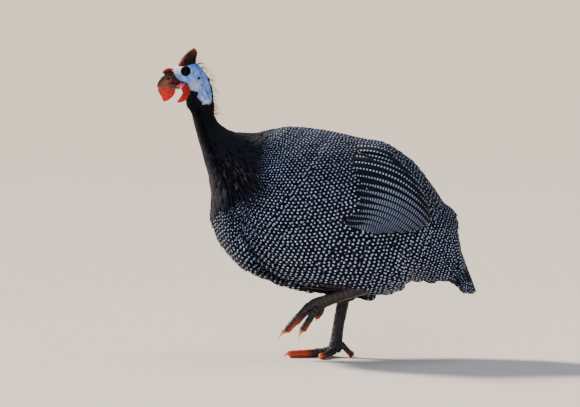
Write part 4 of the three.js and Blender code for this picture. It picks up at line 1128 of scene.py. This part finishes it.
# Caruncles: soft warty lumps of reddish-brown skin over the base of the bill, down to the gape. Each is a
# flattened ball made uneven, grown together with the skin and with its neighbours.
fleshy = painted_finish("Warty red flesh", 0.62, 1.6, 0.35, 0.35, **{
    "Subsurface Weight": 0.12, "Subsurface Scale": 0.003, "Specular IOR Level": 0.25})
# [x, y, z, radius] in the head's own frame, on both sides
LUMPS = [
    [-215.0, 3.2, 418.0, 3.9], [-219.6, 2.4, 416.0, 3.0], [-210.4, 5.4, 413.4, 4.4],
    [-207.0, 6.6, 407.6, 3.6], [-203.2, 7.8, 404.6, 3.0], [-213.2, 5.4, 409.6, 2.6],
    [-199.6, 8.8, 401.6, 2.7], [-205.6, 7.0, 402.8, 2.6], [-209.0, 1.4, 418.6, 3.2],
    [-201.4, 8.2, 398.6, 2.6], [-197.0, 9.6, 399.4, 2.4],
]
forms = []
for number, (x, y, z, radius) in enumerate(LUMPS):
    for side in (-1, 1):
        points, faces = sphere_points([0, 0, 0], [radius * 1.12, radius * 0.62, radius * 0.98], 24, 32)
        points = points * (1 + 0.2 * ripple(points, 4.2, 40 + number + side)[:, None])
        points = points + 0.25 * unit(points) * ripple(points, 1.8, 70 + number)[:, None]
        points = points + [x, side * y, z]
        tints = np.tile(linear("#2C0806"), (len(points), 1))
        tints = blend_colour(tints, "#A81C0A", ease(416.5, 421, points[:, 2]) * 0.9)
        tints = blend_colour(tints, "#6A1409", (number % 3 == 1) * 0.6 * np.ones(len(points)))
        forms.append((in_head(points), faces, tints))
painted_piece("caruncles", forms, fleshy)

# Wattles: two limp flaps of moist bright red skin, the left curled back in a hook, the right swung
# forward. They hang from the gape, and each is lofted round its own line.
wattle_skin = painted_finish("Moist red wattle", 0.42, 2.4, 0.2, 0.16, **{
    "Subsurface Weight": 0.12, "Subsurface Scale": 0.003, "Specular IOR Level": 0.3, "Coat Weight": 0.08,
    "Coat Roughness": 0.2})


def limb_rings(stops, up, steps, sides):
    """Rings round a smooth line of [x, y, z, half width, half depth]."""
    t, angle = ring_grid(steps, sides)
    line = spline(stops, t[:, 0] * (len(stops) - 1))
    along = unit(np.gradient(line[:, :3], axis=0))
    over = unit(np.asarray(up, float) - along * (along @ np.asarray(up, float))[:, None])
    across = np.cross(along, over)
    rise = over[:, None] * (line[:, None, 4:5] * np.cos(angle)[..., None])
    reach = across[:, None] * (line[:, None, 3:4] * np.sin(angle)[..., None])
    outward = unit(over[:, None] * np.cos(angle)[..., None] + across[:, None] * np.sin(angle)[..., None])
    return line[:, None, :3] + rise + reach, outward, t, angle


# [x, y, z, half width, half depth] from the gape to the flap's tip
WATTLE_LEFT_STOPS = [
    [-204.0, -9.6, 396.2, 1.4, 1.0], [-199.5, -11.4, 397.4, 4.0, 2.3], [-193.4, -13, 395.0, 5.2, 2.6],
    [-190.3, -14.8, 388.4, 5.4, 2.3], [-192.6, -15.6, 381.8, 4.9, 1.9], [-197.6, -15.6, 377.0, 3.6, 1.4],
    [-202.4, -15.2, 374.3, 1.7, 1.0], [-203.6, -15.2, 373.8, 0.5, 0.4],
]
WATTLE_RIGHT_STOPS = [
    [-212, 7.6, 401, 9.0, 1.4], [-214.4, 8.6, 396, 11.6, 2.4], [-215.8, 10.0, 391, 12.8, 2.8],
    [-216.0, 11.2, 385.4, 11.8, 2.6], [-217.2, 12.0, 379.2, 7.8, 2.0], [-218.8, 12.4, 374.4, 3.2, 1.3],
    [-219.4, 12.4, 372.4, 0.7, 0.5],
]
WATTLES = (("left", WATTLE_LEFT_STOPS, "#A80A02"), ("right", WATTLE_RIGHT_STOPS, "#DC1402"))
for name, stops, base_code in WATTLES:
    rings, outward, t, angle = limb_rings(stops, [0, -1, 0], 60, 40)
    rings = rings + outward * (0.4 * ripple(rings, 6, 21) + 0.08 * ripple(rings, 2.2, 22))[..., None]
    mottled = ripple(rings, 5, 23)
    tints = np.tile(linear(base_code), (*angle.shape, 1))
    tints = blend_colour(tints, "#6A0503", 0.5 * ease(0.1, 0.8, mottled))
    # Painted wet highlight: pale pink patches on the upper lobes near the gape, set by the same mottle.
    tints = blend_colour(tints, "#F3B7A6", 0.8 * ease(-0.1, 0.7, -mottled) * (1 - ease(0.16, 0.34, t)))
    tints = blend_colour(tints, "#EC2406", 0.85 * ease(0.5, 0.95, t))
    points, faces = loft(rings)
    painted_piece("wattle_flap_" + name, [(in_head(points), faces, with_ends(tints))], wattle_skin,
                  ["wattle_" + name])

# Nape bristles: sparse hair-like feathers, black and stiff, half a centimetre to two centimetres long.
# They are rooted in the skin along the back of the head and neck.
bristle_keratin = painted_finish("Black bristle keratin", 0.5, 1.0, 0.05)
rng = np.random.default_rng(51)
BRISTLES = 120
forms = []
for _ in range(BRISTLES):
    u = rng.uniform(2.0, 6.0)
    angle = rng.normal(0, 0.28)
    root = turn_head(straight_skin(u, angle), u)
    out = unit(turn_head(straight_skin(u, angle) + skin_normal(u, angle), u) - root)
    down = unit(turn_head(straight_skin(u + 0.1, angle), u + 0.1) - root)
    length = rng.uniform(5, 15) * (1 + 0.4 * (rng.random() < 0.2))
    lean = rng.uniform(0.25, 1.2)
    way = unit(out + down * lean + rng.normal(0, 0.22, 3))
    bent = unit(way + down * 0.6)
    stops = [[*(root - out * 0.6), 0.2, 0.2], [*(root + way * length * 0.45), 0.15, 0.15],
             [*(root + way * length * 0.45 + bent * length * 0.5), 0.08, 0.08]]
    rings, outward, t, turn = limb_rings(stops, np.cross(way, [0, 1, 0.1]), 4, 4)
    points, faces = loft(rings)
    forms.append((points, faces, np.tile(linear("#0C0B0C"), (len(points), 1))))
painted_piece("nape_bristles", forms, bristle_keratin)

# Legs and feet: horny skin in overlapping scutes down the front and small round scales elsewhere, dark
# grey-brown, turning orange at the ends and soles of the toes. Each is lofted round its own line.
leg_skin = painted_finish("Scaly leg skin", 0.5, 1.7, 0.3, 0.3, **{"Specular IOR Level": 0.4})
# [x, y, z, half width, half depth] down each shank, and the middle line of each toe
LEG_STOPS = {
    "left": [[70, -39, 107, 9, 11], [58, -36, 102, 7.6, 9.6], [37, -31, 94.2, 6.2, 9.0],
             [15, -26, 86, 6.0, 9.2], [2, -23, 80, 6.8, 10.6], [-6, -21.5, 75.6, 7.0, 9.6],
             [-10, -21, 72.8, 4.4, 6.4]],
    "right": [[42, 20.5, 102, 9, 11.5], [41, 20, 93, 7.6, 10.4], [38.5, 18, 76, 6.4, 8.6],
              [32.6, 12.5, 47, 5.4, 8.0], [29.6, 8.5, 26, 6.0, 8.6], [27.6, 6, 13, 7.4, 9.8],
              [27, 5.6, 7, 5.6, 7.0]],
}
TOE_LINES = {
    ("left", "inner"): [[-6, -17, 76], [-10, -15, 72], [-18, -10.5, 64], [-28.5, -8.5, 53]],
    ("left", "middle"): [
        [-4, -21, 79], [-11, -21, 75.5], [-19, -21, 68], [-31, -21, 55.5], [-41.5, -21, 43.5]],
    ("left", "outer"): [[0, -24, 76], [-3, -28, 71], [-10, -31.5, 59], [-18.7, -34, 45.8]],
    ("left", "hind"): [[2, -21, 77], [7, -20, 71], [1.8, -18, 61.5]],
    ("right", "inner"): [[26, 2, 10], [21, -3, 8], [14, -13, 5.2], [8, -23, 4.4]],
    ("right", "middle"): [[27, 5, 11], [17, 4.5, 8.6], [3, 2.6, 6.4], [-16, -0.4, 5.4], [-35.5, -3, 5.2]],
    ("right", "outer"): [[26, 9, 10], [20, 14, 7.6], [11, 24.5, 5.2], [1.5, 34.5, 4.4]],
    ("right", "hind"): [[30, 6, 21], [37, 6, 17.5], [44, 5.5, 10.5], [50.4, 5, 3.6]],
}
CLAW_TIPS = {
    ("left", "inner"): [-36, -8, 42], ("left", "middle"): [-55.4, -21, 29.3],
    ("left", "outer"): [-26.5, -34.5, 31.6], ("left", "hind"): [-1.2, -17.5, 53.8],
    ("right", "inner"): [3.2, -31, 0.8], ("right", "middle"): [-48.5, -4.5, 0.8],
    ("right", "outer"): [-4.5, 41, 0.8], ("right", "hind"): [55.2, 5, 0.8],
}
TOE_RADII = {"inner": [5.2, 4.4], "middle": [6.9, 5.1], "outer": [5.4, 4.6], "hind": [4.4, 3.6]}
TOE_PLATES = {"inner": 9, "middle": 15, "outer": 10, "hind": 6}
SHANK_SCUTES = 17
SCALES_ROUND = 13
SHANK_SCALE_STEP = 0.75
TOE_SCALE_STEP = 0.6
KNUCKLES = [0, 0.35, -0.25, 0.3, -0.1]  # how the toe's radius swells and narrows from joint to joint
ORANGE_FROM = {"middle": 0.40, "inner": 0.50, "outer": 0.55, "hind": 0.8}
FLOOR_GAP = 0.05


def scale_over(rings, outward, t, angle, plates, step):
    """Raises overlapping scutes on the upper side and rows of small scales below."""
    part = (t * plates) % 1
    scute = ease(0, 0.14, part) * (1 - 0.55 * part)
    over = ease(-0.15, 0.35, np.cos(angle))
    turns = angle / (2 * math.pi) * SCALES_ROUND
    grain = np.sin(t * plates * 2 * math.pi * 1.5 + (np.floor(turns) % 2) * math.pi)
    grain = grain * np.abs(np.sin(turns * math.pi))
    rise = step * scute * over + 0.28 * step * grain * (1 - over)
    return rings + outward * rise[..., None], part, over


def leg_tints(t, angle, part, over, points, orange, seed):
    tints = np.tile(linear("#1E1A1B"), (*angle.shape, 1))
    tints = blend_colour(tints, "#393231", 0.6 * over * ease(0.2, 0.9, part))
    tints = blend_colour(tints, "#171314", 0.8 * over * (1 - ease(0.0, 0.12, part)))
    tints = blend_colour(tints, "#5A4236", 0.45 * ease(0.2, 1.2, ripple(points, 7, seed)))
    return blend_colour(tints, "#B8390A", orange)


for side, stops in LEG_STOPS.items():
    rings, outward, t, angle = limb_rings(stops, [-1, 0, 0], 220, 40)
    rings, part, over = scale_over(rings, outward, t, angle, SHANK_SCUTES, SHANK_SCALE_STEP)
    rings = rings + outward * (0.25 * ripple(rings, 9, 61))[..., None]
    glow = 0.75 * ease(0.84, 0.93, t) * over * ease(0.1, 0.5, part)
    points, faces = loft(rings)
    tints = leg_tints(t, angle, part, over, rings, glow, 62)
    painted_piece("scaly_shank_" + side, [(points, faces, with_ends(tints))], leg_skin,
                  ["shank_" + side])


def toe_piece(side, toe, line):
    base, tip_radius = TOE_RADII[toe]
    end, before = np.array(line[-1], float), np.array(line[-2], float)
    onward = unit(end - before)
    stops = []
    for i, place in enumerate(line):
        radius = base + (tip_radius - base) * i / (len(line) - 1) + KNUCKLES[i % len(KNUCKLES)]
        stops.append([*place, radius, radius])
    stops.append([*(end + onward * tip_radius * 0.55), tip_radius * 0.84, tip_radius * 0.84])
    stops.append([*(end + onward * tip_radius * 0.95), tip_radius * 0.35, tip_radius * 0.35])
    rings, outward, t, angle = limb_rings(stops, [0, 0, 1], 120, 32)
    rings, part, over = scale_over(rings, outward, t, angle, TOE_PLATES[toe], TOE_SCALE_STEP)
    rings = rings + outward * (0.22 * ripple(rings, 6, 63))[..., None]
    rings[..., 2] = np.maximum(rings[..., 2], FLOOR_GAP)
    if side == "right":
        orange = 0.9 * ease(ORANGE_FROM[toe], ORANGE_FROM[toe] + 0.12, t)
    else:
        orange = 0.85 * ease(0.76, 0.88, t)
    sole = 1 - ease(-0.6, 0.3, np.cos(angle))
    orange = np.maximum(orange, sole * 0.9 * ease(0.35, 0.55, t))
    points, faces = loft(rings)
    tints = leg_tints(t, angle, part, over, rings, orange, 64)
    painted_piece(f"scaly_toe_{side}_{toe}", [(points, faces, with_ends(tints))], leg_skin,
                  [f"toe_{side}_{toe}"])


# Claws: blunt curved horn, orange at the base and pale at the tip. Each one hooks down from its toe's end.
claw_horn = painted_finish("Worn claw horn", 0.35, 1.4, 0.08, 0.15, **{
    "Subsurface Weight": 0.1, "Subsurface Scale": 0.002})
CLAW_THICK = 3.5
CLAW_HOOK = 3.0
CLAW_ROOT = 3.5  # how far the claw reaches back into the toe


def claw_piece(side, toe, line):
    end, before = np.array(line[-1], float), np.array(line[-2], float)
    onward = unit(end - before)
    tip = np.array(CLAW_TIPS[side, toe], float)
    middle = (end + tip) / 2 + [0, 0, CLAW_HOOK]
    buried = end - onward * CLAW_ROOT + [0, 0, 0.9]
    near = (end + middle) / 2 + [0, 0, 0.8]
    far = (middle + tip) / 2 + [0, 0, 0.7]
    stops = [
        [*buried, CLAW_THICK * 0.9, CLAW_THICK * 1.1], [*near, CLAW_THICK * 0.95, CLAW_THICK * 1.1],
        [*middle, CLAW_THICK * 0.72, CLAW_THICK * 0.85], [*far, 1.2, 1.3], [*tip, 0.4, 0.45],
    ]
    rings, _outward, t, angle = limb_rings(stops, [0, 0, 1], 30, 20)
    rings[..., 2] = np.maximum(rings[..., 2], FLOOR_GAP)
    tints = np.tile(linear("#C05A22"), (*angle.shape, 1))
    tints = blend_colour(tints, "#E2A55E", ease(0.35, 0.65, t))
    tints = blend_colour(tints, "#EFD6A6", ease(0.7, 0.95, t))
    points, faces = loft(rings)
    painted_piece(f"claw_horn_{side}_{toe}", [(points, faces, with_ends(tints))], claw_horn,
                  [f"claw_{side}_{toe}"])


for (side, toe), line in TOE_LINES.items():
    toe_piece(side, toe, line)
    claw_piece(side, toe, line)

# The studio: a floor of pale plaster, a low broad sun with two soft boxes, and a camera at the
# photograph's angle. None of it belongs to the bird.
GRIT_SIZE = 14
floor_material, tree, shader = new_material("Pale plaster floor", 0.85, "#D9D2C8")
where = add_node(tree, "ShaderNodeTexCoord")
grit = add_node(tree, "ShaderNodeTexNoise", links={
    "Vector": where.outputs["Object"], "Scale": 1 / (GRIT_SIZE * MM), "Detail": 5.0})
shade = add_node(tree, "ShaderNodeMix", {"data_type": "RGBA"}, {
    "Factor": grit.outputs["Fac"], "A": (*linear("#E6DDD2"), 1), "B": (*linear("#EEE7DD"), 1)})
tree.links.new(shade.outputs["Result"], shader.inputs["Base Color"])
FLOOR_HALF = 60000
floor = new_mesh("floor", np.array([
    [-FLOOR_HALF, -FLOOR_HALF, 0], [FLOOR_HALF, -FLOOR_HALF, 0], [FLOOR_HALF, FLOOR_HALF, 0],
    [-FLOOR_HALF, FLOOR_HALF, 0]]), [(0, 1, 2, 3)], [floor_material])


def lamp(kind, name, place, size, power, colour):
    """A light that looks at the bird's middle: a broad sun, or a square soft box."""
    data = bpy.data.lights.new(name, kind)
    if kind == "SUN":
        data.angle = size
    else:
        data.size = size
    data.energy = power
    data.color = linear(colour)
    light = bpy.data.objects.new(name, data)
    light.location = place
    light.rotation_euler = (Vector((0, 0, 0.25)) - Vector(place)).to_track_quat("-Z", "Y").to_euler()
    bpy.context.scene.collection.objects.link(light)


lamp("SUN", "key", (-2.2, 1.25, 2.3), math.radians(9), 6.5, "#FFF1DE")
lamp("AREA", "side_fill", (-0.8, -2.6, 1.6), 2.2, 30, "#B6CEFF")
lamp("AREA", "top_fill", (0.6, 0.2, 2.6), 1.6, 14, "#EEF4FF")
world = bpy.data.worlds.new("Studio")
world.use_nodes = True
world.node_tree.nodes["Background"].inputs["Color"].default_value = (*linear("#DCDDE2"), 1)
world.node_tree.nodes["Background"].inputs["Strength"].default_value = 0.36
bpy.context.scene.world = world

# The camera stands 7 m away and 5 degrees up, so that the bird fills the frame as in the photograph
FRAME_WIDTH = 0.841
AIM = (-0.0384, 0.0, 0.2248)
CAMERA_DISTANCE = 7.0
CAMERA_RISE = math.radians(5)
SENSOR_WIDTH = 36.0
camera_data = bpy.data.cameras.new("camera")
camera_data.sensor_width = SENSOR_WIDTH
camera_data.lens = SENSOR_WIDTH * CAMERA_DISTANCE / FRAME_WIDTH
camera_data.clip_end = 50
camera = bpy.data.objects.new("camera", camera_data)
camera_back = CAMERA_DISTANCE * math.cos(CAMERA_RISE)
camera_up = CAMERA_DISTANCE * math.sin(CAMERA_RISE)
camera.location = (AIM[0], AIM[1] - camera_back, AIM[2] + camera_up)
camera.rotation_euler = (math.pi / 2 - CAMERA_RISE, 0, 0)
bpy.context.scene.collection.objects.link(camera)
bpy.context.scene.camera = camera
